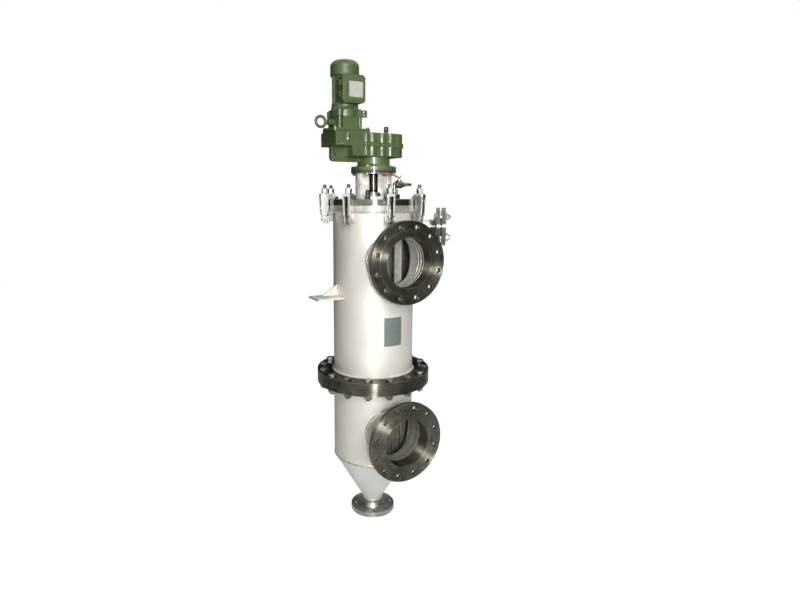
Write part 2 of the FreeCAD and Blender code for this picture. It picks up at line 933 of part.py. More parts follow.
def make_lantern():
    r_out = lantern_od / 2
    r_in = r_out - lantern_wall
    head = lantern_top - lantern_head_t
    foot = cover_top + lantern_foot_t
    body = turned([(lantern_bore_d / 2, cover_top), (r_out, cover_top), (r_out, head),
                   (lantern_flange_od / 2, head), (lantern_flange_od / 2, lantern_top),
                   (lantern_bore_d / 2, lantern_top), (lantern_bore_d / 2, head), (r_in, head),
                   (r_in, foot), (lantern_bore_d / 2, foot)])
    half = math.radians(window_angle / 2)
    far = r_out * 2
    low = foot + window_margin
    wedge = outline([(0, 0, low), (far * math.cos(half), -far * math.sin(half), low),
                     (far * math.cos(half), far * math.sin(half), low)])
    window = wedge.extrude(V(0, 0, head - window_margin - low))
    holes = bolt_holes(output_bolt_circle, output_bolts, output_bolt_d + 1, head - 1,
                       lantern_top + 1)
    feet = bolt_holes(lantern_bolt_circle, lantern_bolts, lantern_bolt_d, cover_top - 1, foot + 1)
    return body.cut([at_azimuth(window, window_azimuth)] + holes + feet)


def make_lantern_bolts():
    foot = cover_top + lantern_foot_t
    bolt = hex_bolt(lantern_bolt_d, lantern_bolt_flats, lantern_bolt_head, foot, cover_top)
    return around(moved(bolt, lantern_bolt_circle / 2), lantern_bolts, 180.0 / lantern_bolts)


# Output flange and its bolts

def make_output_flange():
    rim = lantern_top + output_rim_t
    flare_top = rim + output_flare_height
    r_bore = output_bore_d / 2
    body = turned([(lantern_bore_d / 2, lantern_top), (lantern_flange_od / 2, lantern_top),
                   (lantern_flange_od / 2, rim), (output_flare_d / 2, rim),
                   (output_neck_d / 2, flare_top), (output_neck_d / 2, housing_low),
                   (r_bore, housing_low), (r_bore, housing_low - 8.0),
                   (lantern_bore_d / 2, housing_low - 20.0)])
    return body.cut(bolt_holes(output_bolt_circle, output_bolts, output_bolt_d + 1,
                               lantern_top - 1, rim + 1))


def make_flange_bolts():
    rim = lantern_top + output_rim_t
    under = lantern_top - lantern_head_t
    nut_height = output_bolt_d * 0.8
    bolt = hex_bolt(output_bolt_d, output_bolt_flats, output_bolt_head, rim,
                    under - nut_height - output_bolt_d * 0.3)
    fixing = [bolt, nut(output_bolt_d, output_bolt_flats, under - nut_height, under)]
    placed = [moved(piece, output_bolt_circle / 2) for piece in fixing]
    return [copy for piece in placed
            for copy in around(piece, output_bolts, 180.0 / output_bolts)]


# Gears

def tooth_half_angle(teeth, radius):
    """Half the angle that a tooth takes at a radius, from the involute of the circle."""
    alpha = math.radians(pressure_angle)
    pitch_r = gear_module * teeth / 2
    base_r = pitch_r * math.cos(alpha)
    here = math.acos(base_r / radius) if radius > base_r else 0.0
    spread = math.tan(alpha) - alpha - (math.tan(here) - here)
    return math.pi / (2 * teeth) - flank_slack / pitch_r + spread


def spur_gear(teeth, low, face, tooth_at, x=0.0):
    """Spur gear on a vertical axis, one tooth's middle at the angle tooth_at."""
    pitch_r = gear_module * teeth / 2
    radii = [pitch_r - dedendum * gear_module, pitch_r, pitch_r + addendum * gear_module]
    flank = [(r, -tooth_half_angle(teeth, r)) for r in radii]
    tooth = flank + [(r, -a) for r, a in reversed(flank)]
    points = []
    for i in range(teeth):
        middle = math.radians(tooth_at) + 2 * math.pi * i / teeth
        points += [(x + r * math.cos(middle + a), r * math.sin(middle + a), low)
                   for r, a in tooth]
    return outline(points).extrude(V(0, 0, face))


# Every gap of a driven gear faces the tooth of its partner on the line of centres, along X
counter_low = housing_low + second_stage_low
first_low = housing_low + first_stage_low
bearing_seat_low = housing_low + bearing_floor
bearing_seat_high = housing_top - bearing_floor


def make_output_gear():
    gear = spur_gear(output_teeth, counter_low, second_stage_face, 180.0)
    hub = rod(hollow_shaft_d / 2, housing_low + 4.0, housing_top - housing_wall - 1.0)
    return union([gear, hub]).cut(rod(shaft_r, housing_low, housing_top))


def make_countershaft():
    shaft = rod(counter_shaft_d / 2, bearing_seat_low + 0.5, bearing_seat_high - 0.5, counter_x)
    pinion = spur_gear(counter_pinion_teeth, counter_low - 1.0, second_stage_face + 2.0,
                       180.0 / counter_pinion_teeth, counter_x)
    gear = spur_gear(counter_gear_teeth, first_low, first_stage_face, 180.0, counter_x)
    return union([shaft, pinion, gear])


def make_motor_rotor():
    pinion = spur_gear(motor_teeth, first_low - 1.0, first_stage_face + 2.0,
                       180.0 / motor_teeth, motor_x)
    shaft = rod(motor_shaft_d / 2, first_low - 3.0, frame_top + fan_above_frame + 16.0, motor_x)
    core_low = frame_low + stator_start
    core = rod(stator_id / 2 - air_gap, core_low, core_low + stator_length, motor_x)
    return union([shaft, pinion, core])


def bearing(outer_d, shaft_diameter, low, thickness, x):
    """A rolling bearing drawn as one ring with its shoulder grooves."""
    r_out, r_in = outer_d / 2, shaft_diameter / 2 + running
    middle = (r_out + r_in) / 2
    body = ring(r_out, r_in, low, low + thickness, x)
    groove = ring(middle + 2.0, middle - 2.0, low + thickness - 1.0, low + thickness + 1, x)
    return body.cut(groove)


def make_gear_bearings():
    return [bearing(output_bearing_od, hollow_shaft_d, housing_low, output_bearing_t, 0),
            bearing(output_bearing_od, hollow_shaft_d,
                    housing_top - housing_wall - output_bearing_t, output_bearing_t, 0),
            bearing(small_bearing_od, counter_shaft_d, bearing_seat_low, small_bearing_t,
                    counter_x),
            bearing(small_bearing_od, counter_shaft_d, bearing_seat_high - small_bearing_t,
                    small_bearing_t, counter_x),
            bearing(small_bearing_od, motor_shaft_d, adapter_low + adapter_floor,
                    small_bearing_t, motor_x)]


# Gear housing, two castings that meet on a level joint

def housing_block(grow, low, high, x_in, x_out):
    """Block round the output shaft with its two far corners rounded."""
    half = housing_half_width + grow
    body = block(x_in, x_out + grow, -half, half, low, high)
    corners = [edge for edge in body.Edges
               if all(abs(v.X - x_out - grow) < 0.01 for v in edge.Vertexes)
               and abs(edge.Vertexes[0].Z - edge.Vertexes[1].Z) > 0.01]
    return body.makeFillet(housing_corner + grow, corners)


def side_bosses(low, high, places, diameters):
    """Half round bosses on both long walls, all equally proud of them."""
    face = housing_half_width + side_boss_out
    return [rod(d / 2, low, high, x, side * (face - d / 2))
            for x, d in zip(places, diameters) for side in (-1, 1)]


def input_ribs(low, high):
    """Small twin ribs at the input end, seen on both long walls."""
    r = input_rib_d / 2
    end = housing_half_width + side_boss_out - r
    return [union([block(x - r, x + r, -end, end, low, high), rod(r, low, high, x, -end),
                   rod(r, low, high, x, end)]) for x in input_rib_x]


def torque_arm(step_low):
    """Flat arm under the input end, with the hole that stops the unit from turning."""
    low = housing_low - torque_arm_drop
    points = [(-torque_arm_in, step_low + 1), (-torque_arm_in, low), (0, low),
              (0, housing_low + 1), (-housing_step + 1, housing_low + 1),
              (-housing_step + 1, step_low + 1)]
    arm = radial_plate(points, torque_arm_t)
    arm = rounded(arm, torque_corner, lambda x, z: x < 1 - torque_arm_in and z < low + 1)
    hole = Part.makeCylinder(torque_hole_d / 2, torque_arm_t + 2,
                             V(-torque_hole_x, -torque_arm_t / 2 - 1,
                               housing_low + torque_hole_above), Y_AXIS)
    neck_room = rod(output_neck_d / 2 + seat, low - 1, housing_low)
    return arm.cut([hole, neck_room])


def make_gear_housing_lower():
    step_low = housing_top - housing_shallow
    joint = housing_joint
    wall = housing_wall
    half = housing_half_width
    lean = radial_plate([(-housing_step, housing_low), (1 - housing_step, housing_low),
                         (1 - housing_step, step_low + 1),
                         (-housing_step - housing_step_lean, step_low + 1)], 2 * half)
    outer = [housing_block(0, housing_low, joint, -housing_step, housing_out_end), lean,
             block(-housing_in_end, -housing_step + 1, -half, half, step_low, joint),
             housing_block(joint_band, joint - joint_band_t, joint, joint_band_x,
                           housing_out_end),
             torque_arm(step_low)]
    outer += side_bosses(housing_low + 2.0, joint, side_boss_x + [side_rib_x],
                         side_boss_d + [side_rib_d])
    outer += input_ribs(joint - input_rib_height / 2, joint)
    deep = housing_block(-wall, housing_low + wall, joint + 1, -housing_step + wall,
                         housing_out_end)
    shallow = block(-housing_in_end + wall, -housing_step + wall + 1, -half + wall, half - wall,
                    step_low + wall, joint + 1)
    shell = union(outer).cut([deep, shallow])
    boss = rod(small_bearing_od / 2 + bearing_boss_wall, housing_low + wall - 1,
               bearing_seat_low + small_bearing_t, counter_x)
    pocket = rod(small_bearing_od / 2 + seat, bearing_seat_low, joint, counter_x)
    mouth = rod(output_bearing_od / 2 + seat, housing_low - 1, housing_low + wall + 1)
    return union([shell, boss]).cut([pocket, mouth])


def make_gear_housing_upper():
    joint = housing_joint
    wall = housing_wall
    body = housing_block(0, joint, housing_top, -housing_in_end, housing_out_end)
    rim = [edge for edge in body.Edges if all(abs(v.Z - housing_top) < 0.01 for v in edge.Vertexes)]
    outer = [body.makeChamfer(housing_edge, rim),
             housing_block(joint_band, joint, joint + joint_band_t, joint_band_x,
                           housing_out_end)]
    boss_top = housing_top - housing_edge
    outer += side_bosses(joint, boss_top, side_boss_x + [side_rib_x], side_boss_d + [side_rib_d])
    outer += side_bosses(housing_top - input_boss_drop, boss_top, [input_boss_x], [input_boss_d])
    outer += input_ribs(joint, joint + input_rib_height / 2)
    hollow = housing_block(-wall, joint - 1, housing_top - wall, -housing_in_end + wall,
                           housing_out_end)
    inside = housing_top - wall
    counter_boss = rod(small_bearing_od / 2 + bearing_boss_wall,
                       bearing_seat_high - small_bearing_t, inside + 1, counter_x)
    output_boss = rod(output_bearing_od / 2 + bearing_boss_wall, inside - output_bearing_t,
                      inside + 1)
    shell = union([union(outer).cut(hollow), counter_boss, output_boss])
    pockets = [rod(small_bearing_od / 2 + seat, joint, bearing_seat_high, counter_x),
               rod(output_bearing_od / 2 + seat, joint, inside),
               rod(small_bearing_od / 2 + seat, joint, housing_top + 1, motor_x)]
    return shell.cut(pockets)


def domed(radius, low, high):
    """Cap whose top edge is rounded by two thirds of its radius."""
    cap = rod(radius, low, high)
    rim = [edge for edge in cap.Edges if abs(edge.BoundBox.ZMin - high) < 0.01]
    return cap.makeFillet(radius * 2 / 3, rim)


def make_breather():
    foot = housing_top + breather_base
    cap = rod(breather_neck_d / 2, foot - 1, foot + breather_neck + 1)
    cap = cap.fuse(domed(breather_cap_d / 2, foot + breather_neck, foot + breather_cap))
    base = hexagon(breather_flats, housing_top, foot)
    return moved(union([base, cap]), breather_x)


# Motor adapter on top of the gear housing, with the lifting eye

adapter_top = motor_low
adapter_body_low = adapter_low + adapter_plate_t


def lobe_ring(low, high):
    """The motor's four eared flange, its ears between the axes, the one at the front long."""
    disc = rod(motor_disc_d / 2, low, high)
    ears = around(flange_ear(motor_lobe_circle / 2, low, high), motor_lobes, 45)
    return union([disc, spun(flange_ear(long_ear_reach, low, high), -45)] + ears)


def flange_ear(reach, low, high):
    half = motor_lobe_d / 2
    return union([rod(half, low, high, reach), block(0, reach, -half, half, low, high)])


def make_motor_adapter():
    plate_x0, plate_x1 = -adapter_in - motor_x, -adapter_out - motor_x
    half = adapter_half_width
    plate = block(plate_x0, plate_x1, -half, half, adapter_low, adapter_body_low)
    edges = [edge for edge in plate.Edges
             if abs(edge.Vertexes[0].Z - edge.Vertexes[-1].Z) > adapter_plate_t / 2]
    plate = plate.makeFillet(base_bolt_inset, edges)
    body = rod(adapter_body_d / 2, adapter_body_low - 1, adapter_top)
    side = block(-adapter_block / 2, adapter_block / 2, -adapter_body_d / 2 - 2.0,
                 adapter_body_d / 2 + 2.0, adapter_body_low - 1, adapter_top - adapter_flange_t)
    column = rod(adapter_column_d / 2, adapter_body_low - 1, adapter_top - adapter_flange_t,
                 motor_lobe_circle / 2)
    web = block(0, motor_lobe_circle / 2, -adapter_rib_t / 2, adapter_rib_t / 2,
                adapter_body_low - 1, adapter_top - adapter_flange_t)
    columns = [copy for piece in (column, web) for copy in around(piece, motor_lobes, 45)]
    flange = lobe_ring(adapter_top - adapter_flange_t, adapter_top)
    solid = union([plate, body, side, flange] + columns)
    bore = [rod(adapter_bore_d / 2, adapter_body_low + 4.0, adapter_top + 1),
            rod(small_bearing_od / 2 + seat, adapter_low + adapter_floor, adapter_top),
            rod(motor_shaft_d, adapter_low - 1, adapter_top)]
    solid = moved(solid.cut(bore + adapter_bolt_holes()), motor_x)
    boss = Part.makeCylinder(eye_boss_d / 2, eye_boss_x + motor_x - adapter_bore_d / 2 - 2.0,
                             V(-eye_boss_x, 0, eye_ring_z), X_AXIS)
    shank = Part.makeCylinder(eye_ring_wire / 2 + seat, eye_boss_x, V(-eye_boss_x, 0, eye_ring_z),
                              X_AXIS)
    return union([solid, boss]).cut(shank.cut(rod(adapter_bore_d / 2 + 3.0, adapter_low,
                                                  adapter_top, motor_x)))


def adapter_bolt_places():
    x0 = -adapter_in - motor_x + base_bolt_inset
    x1 = -adapter_out - motor_x - base_bolt_inset
    y = adapter_half_width - base_bolt_inset
    return [(x0, -y), (x0, y), (x1, -y), (x1, y)]


def adapter_bolt_holes():
    flange = [rod(adapter_bolt_d / 2 + seat, adapter_top - adapter_bolt_grip, adapter_top + 1,
                  motor_lobe_circle / 2)]
    holes = around(flange[0], motor_lobes, 45)
    return holes + [rod(adapter_bolt_d / 2 + seat, adapter_low - 1, adapter_body_low + 1, x, y)
                    for x, y in adapter_bolt_places()]


def make_adapter_bolts():
    bolt = hex_bolt(adapter_bolt_d, adapter_bolt_flats, adapter_bolt_head, adapter_body_low,
                    adapter_low)
    return [moved(bolt, motor_x + x, y) for x, y in adapter_bolt_places()]


def make_motor_bolts():
    bolt = hex_bolt(adapter_bolt_d, adapter_bolt_flats, adapter_bolt_head,
                    motor_low + motor_flange_t, adapter_top - adapter_bolt_grip)
    return [moved(copy, motor_x)
            for copy in around(moved(bolt, motor_lobe_circle / 2), motor_lobes, 45)]


def make_lifting_eye():
    eye = Part.makeTorus(eye_ring_d / 2, eye_ring_wire / 2, V(-eye_ring_x, 0, eye_ring_z), Y_AXIS)
    collar = Part.makeCylinder(eye_collar_d / 2, eye_collar_t,
                               V(-eye_boss_x - eye_collar_t, 0, eye_ring_z), X_AXIS)
    shank = Part.makeCylinder(eye_ring_wire / 2, eye_ring_x - eye_ring_d / 2 - eye_shank_end,
                              V(-eye_ring_x + eye_ring_d / 2, 0, eye_ring_z), X_AXIS)
    return union([eye, collar, shank])


# Motor, built on its own axis and moved to its place

def make_motor_end_shield():
    flange_top = motor_low + motor_flange_t
    flare = turned([(0, flange_top - 1), (motor_disc_d / 2 - 1, flange_top - 1),
                    (motor_disc_d / 2 - 1, flange_top), (shield_d / 2, frame_low - shield_rim),
                    (shield_d / 2, frame_low), (0, frame_low)])
    body = union([lobe_ring(motor_low, flange_top), flare])
    shaft_room = rod(motor_shaft_d / 2 + 2.0, motor_low - 1, frame_low + 1)
    pocket = rod(small_bearing_od / 2 + seat, frame_low - shield_pocket, frame_low + 1)
    hole = rod(adapter_bolt_d / 2 + seat, motor_low - 1, flange_top + 1, motor_lobe_circle / 2)
    head_room = rod(adapter_bolt_flats * 0.6 + 1.0, flange_top, frame_low + 1,
                    motor_lobe_circle / 2)
    holes = [copy for cut in (hole, head_room) for copy in around(cut, motor_lobes, 45)]
    return moved(body.cut([shaft_room, pocket] + holes), motor_x)


def make_motor_frame():
    r = frame_d / 2
    tube = ring(r, r - frame_wall, frame_low, frame_top)
    fin = block(r - 1.0, r + fin_height, -fin_t / 2, fin_t / 2, frame_low + 2.0, frame_top - 4.0)
    clear = math.degrees(math.asin((box_width / 2 + fin_t) / (r + fin_height)))
    angles = [360 * (i + 0.5) / fin_count for i in range(fin_count)]
    fins = [spun(fin, a - 90) for a in angles if min(a, 360 - a) > clear]
    return moved(union([tube] + fins), motor_x)


def make_motor_rear_shield():
    low = frame_top
    lug_high = cowl_low + rear_lug_height
    plate = rod(frame_d / 2, low, low + end_shield_t)
    spigot = rod(frame_d / 2 - frame_wall - seat, low - 3.0, low + 1)
    lug = block(frame_d / 2 - 8.0, cowl_d / 2, -rear_lug_w / 2, rear_lug_w / 2, low, lug_high)
    lug = lug.common(rod(cowl_d / 2 - cowl_wall - seat, low, lug_high))
    body = union([plate, spigot] + around(lug, cowl_screws, 45))
    shaft_room = rod(motor_shaft_d / 2 + 1.0, low - 4, low + end_shield_t + 1)
    pocket = rod(small_bearing_od / 2 + seat, low - 4, low + end_shield_t - 2.0)
    screw = around(cowl_screw(rear_screw_d / 2 + seat), cowl_screws, 45)
    return moved(body.cut([shaft_room, pocket] + screw), motor_x)


def cowl_screw(radius):
    start = frame_d / 2 - 4.0
    return Part.makeCylinder(radius, cowl_d / 2 - start, V(start, 0, screw_z), X_AXIS)


def make_motor_stator():
    low = frame_low + stator_start
    high = low + stator_length
    r = frame_d / 2 - frame_wall - seat
    core = ring(r, stator_id / 2, low, high)
    return moved(core, motor_x)


def make_motor_windings():
    low = frame_low + stator_start
    high = low + stator_length
    inner = stator_id / 2 + 3.0
    return [ring(inner + winding_wall, inner, low - winding_height, low, motor_x),
            ring(inner + winding_wall, inner, high, high + winding_height, motor_x)]


def make_motor_bearings():
    front = frame_low - shield_pocket
    rear = frame_top + end_shield_t - 2.0 - motor_bearing_t
    return [bearing(small_bearing_od, motor_shaft_d, front, motor_bearing_t, motor_x),
            bearing(small_bearing_od, motor_shaft_d, rear, motor_bearing_t, motor_x)]


def make_fan():
    low = frame_top + fan_above_frame
    hub = rod(fan_hub_d / 2, low, low + fan_blade_height)
    disc = rod(fan_d / 2, low, low + fan_disc_t)
    blade = block(fan_hub_d / 2 - 1.0, fan_d / 2, -fan_blade_t / 2, fan_blade_t / 2,
                  low + 1.0, low + fan_blade_height)
    bore = rod(motor_shaft_d / 2 + running, low - 1, low + fan_blade_height + 1)
    return moved(union([hub, disc] + around(blade, fan_blades)).cut(bore), motor_x)


def cowl_form(r, top, shoulder):
    """Outside or inside of the deep drawn cowl, with its round shoulder."""
    form = rod(r, cowl_low, top)
    rim = [edge for edge in form.Edges if abs(edge.BoundBox.ZMin - top) < 0.01]
    return form.makeFillet(shoulder, rim)


def make_fan_cowl():
    outside = cowl_form(cowl_d / 2, cowl_top, cowl_shoulder)
    inside = cowl_form(cowl_d / 2 - cowl_wall, cowl_top - cowl_wall, cowl_shoulder - cowl_wall)
    slot = block(cowl_slot_in, cowl_slot_out, -cowl_slot_w / 2, cowl_slot_w / 2,
                 cowl_top - cowl_wall - 2.0, cowl_top + 1)
    screws = around(cowl_screw(rear_screw_d / 2 + seat), cowl_screws, 45)
    cowl = outside.cut([inside] + around(slot, cowl_slots) + screws)
    return moved(cowl, motor_x)


def make_cowl_screws():
    shank = cowl_screw(rear_screw_d / 2)
    head = Part.makeCylinder(rear_screw_d, rear_screw_head, V(cowl_d / 2, 0, screw_z), X_AXIS)
    flat = block(cowl_d / 2 - 0.6, cowl_d / 2, -1.0, 1.0, screw_z - 1.0, screw_z + 1.0)
    return [moved(copy, motor_x) for copy in around(union([shank, head, flat]), cowl_screws, 45)]


# Terminal box on the motor's front

def box_plan(grow, front, back):
    """Box outline with cut corners, extruded along -Y from back to front."""
    half = box_width / 2 + grow
    low, high = box_low - grow, box_low + box_height + grow
    c = box_corner
    points = [(-half + c, back, low), (half - c, back, low), (half, back, low + c),
              (half, back, high - c), (half - c, back, high), (-half + c, back, high),
              (-half, back, high - c), (-half, back, low + c)]
    return outline(points).extrude(V(0, front - back, 0))


def make_terminal_box():
    back = -box_back
    face = -box_front + lid_t
    body = box_plan(0, face, back).cut(rod(frame_d / 2 + seat, box_low - 1,
                                           box_low + box_height + 1))
    cavity = block(-box_width / 2 + box_wall, box_width / 2 - box_wall, face - 1,
                   -frame_d / 2 - box_wall - 2.0, box_low + box_corner,
                   box_low + box_height - box_corner)
    holes = [moved(hole, x, 0, z) for hole in [plug_hole()] for x, z in plug_places()]
    return moved(body.cut([cavity] + holes), motor_x)


def plug_places():
    middle = box_low + box_height / 2
    return [(-box_width / 2, middle - plug_spread / 2), (-box_width / 2, middle + plug_spread / 2)]


def plug_hole():
    return Part.makeCylinder(plug_flats / 2 - 2.0 + seat, box_wall + 2,
                             V(-1, -box_front + plug_depth, 0), X_AXIS)


def make_cable_plugs():
    y = -box_front + plug_depth
    head = hexagon(plug_flats, 0, plug_length)
    head.rotate(ORIGIN, Y_AXIS, -90)
    head.translate(V(0, y, 0))
    stem = Part.makeCylinder(plug_flats / 2 - 2.0, box_wall, V(0, y, 0), X_AXIS)
    plug = union([head, stem])
    return [moved(plug, motor_x + x, 0, z) for x, z in plug_places()]


def make_terminal_lid():
    rim = -box_front + lid_bevel
    low = box_plan(lid_overhang, rim, -box_front + lid_t)
    high = box_plan(-lid_bevel - 3.0, -box_front, rim)
    holes = [lid_screw(lid_screw_d / 2 + seat, lid_t + 1, x, z) for x, z in lid_screw_places()]
    return moved(union([low, high]).cut(holes), motor_x)


def lid_screw_places():
    x = box_width / 2 - lid_screw_inset
    low, high = box_low + lid_screw_inset, box_low + box_height - lid_screw_inset
    return [(-x, low), (x, low), (-x, high), (x, high)]


def lid_screw(radius, length, x, z):
    return Part.makeCylinder(radius, length, V(x, -box_front + lid_t, z), V(0, -1, 0))


def make_lid_screws():
    screws = []
    for x, z in lid_screw_places():
        head_y = -box_front + lid_t - lid_screw_length
        shank = lid_screw(lid_screw_d / 2, lid_screw_length, x, z)
        screws.append(shank.cut(block(x - lid_screw_d, x + lid_screw_d, head_y - 1, head_y + 1.2,
                                      z - 0.6, z + 0.6)))
    return [moved(screw, motor_x) for screw in screws]


def make_terminal_plate():
    middle = box_low + plate_above
    half_w, half_h = plate_width / 2, plate_height / 2
    return block(motor_x + plate_shift - half_w, motor_x + plate_shift + half_w,
                 -box_front - plate_t, -box_front, middle - half_h, middle + half_h)


# Vent valve and the black plug on the cover, built at the cover's top and moved

vent_z = cover_top + vent_above
valve_x = vent_x + vent_offset


def along_x(radius, x0, x1, y=0.0, z=0.0):
    return Part.makeCylinder(radius, x1 - x0, V(x0, y, z), X_AXIS)


def make_vent_elbow():
    r = vent_pipe_od / 2
    body_start = valve_x - vent_body_length / 2
    outside = union([rod(r, cover_top, vent_z, vent_x), rod(vent_collar_d / 2, cover_top,
                     cover_top + 6.0, vent_x), Part.makeSphere(r + 1.5, V(vent_x, 0, vent_z)),
                     along_x(r, vent_x, body_start, 0, vent_z)])
    b = vent_bore_d / 2
    bore = [rod(b, cover_top - 1, vent_z, vent_x), Part.makeSphere(b, V(vent_x, 0, vent_z)),
            along_x(b, vent_x, body_start + 1, 0, vent_z)]
    return moved(outside.cut(bore), 0, vent_y)


def make_vent_body():
    half = vent_body_length / 2
    r = vent_body_d / 2
    barrel = along_x(r, valve_x - half, valve_x + half, 0, vent_z)
    bonnet = rod(vent_bonnet_d / 2, vent_z, vent_z + vent_body_rise, valve_x)
    room = Part.makeSphere(vent_ball_d / 2 + 0.4, V(valve_x, 0, vent_z))
    bore = along_x(vent_bore_d / 2, valve_x - half - 1, valve_x + half + 1, 0, vent_z)
    stem = rod(vent_stem_d / 2 + running, vent_z, vent_z + vent_body_rise + 1, valve_x)
    return moved(union([barrel, bonnet]).cut([room, bore, stem]), 0, vent_y)


def make_vent_ball():
    ball = Part.makeSphere(vent_ball_d / 2, V(valve_x, 0, vent_z))
    ball = ball.cut(along_x(vent_bore_d / 2, valve_x - vent_ball_d, valve_x + vent_ball_d, 0,
                            vent_z))
    stem = rod(vent_stem_d / 2, vent_z + vent_bore_d / 2 + 2.0, lever_low + lever_t
               + lever_nut_height, valve_x)
    return moved(union([ball, stem]), 0, vent_y)


lever_low = vent_z + vent_body_rise + vent_stem_rise


def make_vent_union():
    start = valve_x + vent_body_length / 2
    end = start + vent_union_length
    head = hexagon(vent_union_flats, 0, vent_union_length)
    head.rotate(ORIGIN, Y_AXIS, 90)
    head = moved(head, start, 0, vent_z)
    nipple = along_x(vent_nipple_d / 2, end - 1, end + vent_nipple_length, 0, vent_z)
    barb_start = end + vent_nipple_length * 0.4
    barb = Part.makeCone(vent_barb_d / 2, vent_nipple_d / 2 - 1.0,
                         vent_nipple_length * 0.6, V(barb_start, 0, vent_z), X_AXIS)
    bore = along_x(vent_bore_d / 2, start - 1, end + vent_nipple_length + 1, 0, vent_z)
    return moved(union([head, nipple, barb]).cut(bore), 0, vent_y)


def make_vent_lever():
    """Bent strip that runs from the stem back towards -X, parallel to the flow when open."""
    t = lever_t
    foot = valve_x - lever_foot
    ramp = foot - lever_ramp
    points = [(valve_x + lever_tail, lever_low), (foot, lever_low),
              (ramp, lever_low + lever_lift), (valve_x - lever_reach, lever_low + lever_lift),
              (valve_x - lever_reach, lever_low + lever_lift + t),
              (ramp, lever_low + lever_lift + t), (foot, lever_low + t),
              (valve_x + lever_tail, lever_low + t)]
    strip = radial_plate(points, lever_width)
    strip = strip.cut(rod(vent_stem_d / 2 + seat, lever_low - 1, lever_low + t + 1, valve_x))
    return moved(strip, 0, vent_y)


def make_lever_sleeve():
    x1 = valve_x - lever_foot - lever_ramp - 1.0
    x0 = valve_x - lever_reach - sleeve_end
    middle = lever_low + lever_lift + lever_t / 2
    half = sleeve_width / 2
    sleeve = block(x0, x1, -half, half, middle - sleeve_t / 2, middle + sleeve_t / 2)
    room = block(valve_x - lever_reach - seat, x1 + 1, -lever_width / 2 - seat,
                 lever_width / 2 + seat, middle - lever_t / 2 - seat, middle + lever_t / 2 + seat)
    return moved(sleeve.cut(room), 0, vent_y)


def make_lever_nut():
    shape = nut(vent_stem_d, lever_nut_flats, lever_low + lever_t,
                lever_low + lever_t + lever_nut_height)
    return moved(shape, valve_x, vent_y)


def make_cover_plug():
    base_top = cover_top + plug_base_t
    top = cover_top + plug_knob_height
    knob = domed(plug_knob_d / 2, base_top - 1, top)
    plug = moved(union([hexagon(plug_base_flats, cover_top, base_top), knob]), plug_circle_r)
    return at_azimuth(plug, plug_azimuth)


def make_shell_nameplate():
    half = math.radians(name_arc / 2)
    far = vessel_r * 2
    wedge = outline([(0, 0, name_low), (far * math.cos(half), -far * math.sin(half), name_low),
                     (far * math.cos(half), far * math.sin(half), name_low)])
    sheet = ring(vessel_r + seat + name_t, vessel_r + seat, name_low, name_low + name_height)
    return at_azimuth(sheet.common(wedge.extrude(V(0, 0, name_height))), 0)


eye_ring_z = adapter_body_low + eye_ring_above
screw_z = cowl_low + rear_screw_above
name_low = upper_flange_top + name_above_flange

# Vessel
save("drain_flange", make_drain_flange())
save("vessel_cone", make_cone())
save("lower_shell", make_lower_shell())
save("nozzle_necks", [make_nozzle_neck(outlet_height), make_nozzle_neck(inlet_height)])
save("nozzle_flanges", [make_nozzle_flange(outlet_height), make_nozzle_flange(inlet_height)])
save("body_flanges", [body_flange(lower_flange_low), body_flange(upper_flange_face)])
save("flat_gaskets", make_body_gaskets() + [make_side_gasket()])
save("body_flange_bolts", make_body_bolts())
save("upper_shell", make_upper_shell())
save("side_nozzle_neck", make_side_neck())
save("side_nozzle_flange", make_side_flange())
save("side_blind_cover", make_side_blind_cover())
save("side_nozzle_bolts", make_side_bolts())
save("support_brackets", [bracket(0), bracket(180)])
save("shell_nameplate", make_shell_nameplate())

# Cover with its clamps
save("top_ring", make_top_ring())
save("cover_seal", seal_ring(ring_top - cover_seal_t))
save("cover_plate", make_cover())
save("clamp_yokes", round_the_cover([make_clamp_yoke()]))
save("clamp_claws", round_the_cover([make_clamp_claw()]))
save("clamp_eyebolts", round_the_cover([make_clamp_eyebolt()]))
save("clamp_pins", round_the_cover(make_clamp_pins()))
save("clamp_nuts", round_the_cover([make_clamp_nut()]))
save("cover_plug", make_cover_plug())
save("vent_elbow", make_vent_elbow())
save("vent_body", make_vent_body())
save("vent_ball", make_vent_ball())
save("vent_union", make_vent_union())
save("vent_lever", make_vent_lever())
save("lever_sleeve", make_lever_sleeve())
save("lever_nut", make_lever_nut())

# Screen and scraper rotor
save("filter_screen", make_filter_screen())
save("foot_bearing", make_foot_bearing())
save("drive_shaft", make_drive_shaft())
save("scraper_frame", make_scraper_frame())
save("scraper_blades", make_scraper_blades())
save("shaft_gland", make_shaft_gland())

# Lantern and gear unit
save("lantern", make_lantern())
save("output_flange", make_output_flange())
save("lantern_fixings", make_lantern_bolts() + make_flange_bolts())
save("gear_housing_lower", make_gear_housing_lower())
save("gear_housing_upper", make_gear_housing_upper())
save("output_gear", make_output_gear())
save("countershaft", make_countershaft())
save("breather", make_breather())

# Motor
save("motor_adapter", make_motor_adapter())
save("motor_bolts", make_adapter_bolts() + make_motor_bolts())
save("lifting_eye", make_lifting_eye())
save("motor_end_shield", make_motor_end_shield())
save("motor_frame", make_motor_frame())
save("motor_rear_shield", make_motor_rear_shield())
save("motor_stator", [make_motor_stator()] + make_motor_windings())
save("rolling_bearings", make_gear_bearings() + make_motor_bearings())
save("motor_rotor", make_motor_rotor())
save("fan", make_fan())
save("fan_cowl", [make_fan_cowl()] + make_cowl_screws())
save("terminal_box", make_terminal_box())
save("terminal_lid", [make_terminal_lid()] + make_lid_screws())
save("terminal_plate", make_terminal_plate())
save("cable_plugs", make_cable_plugs())
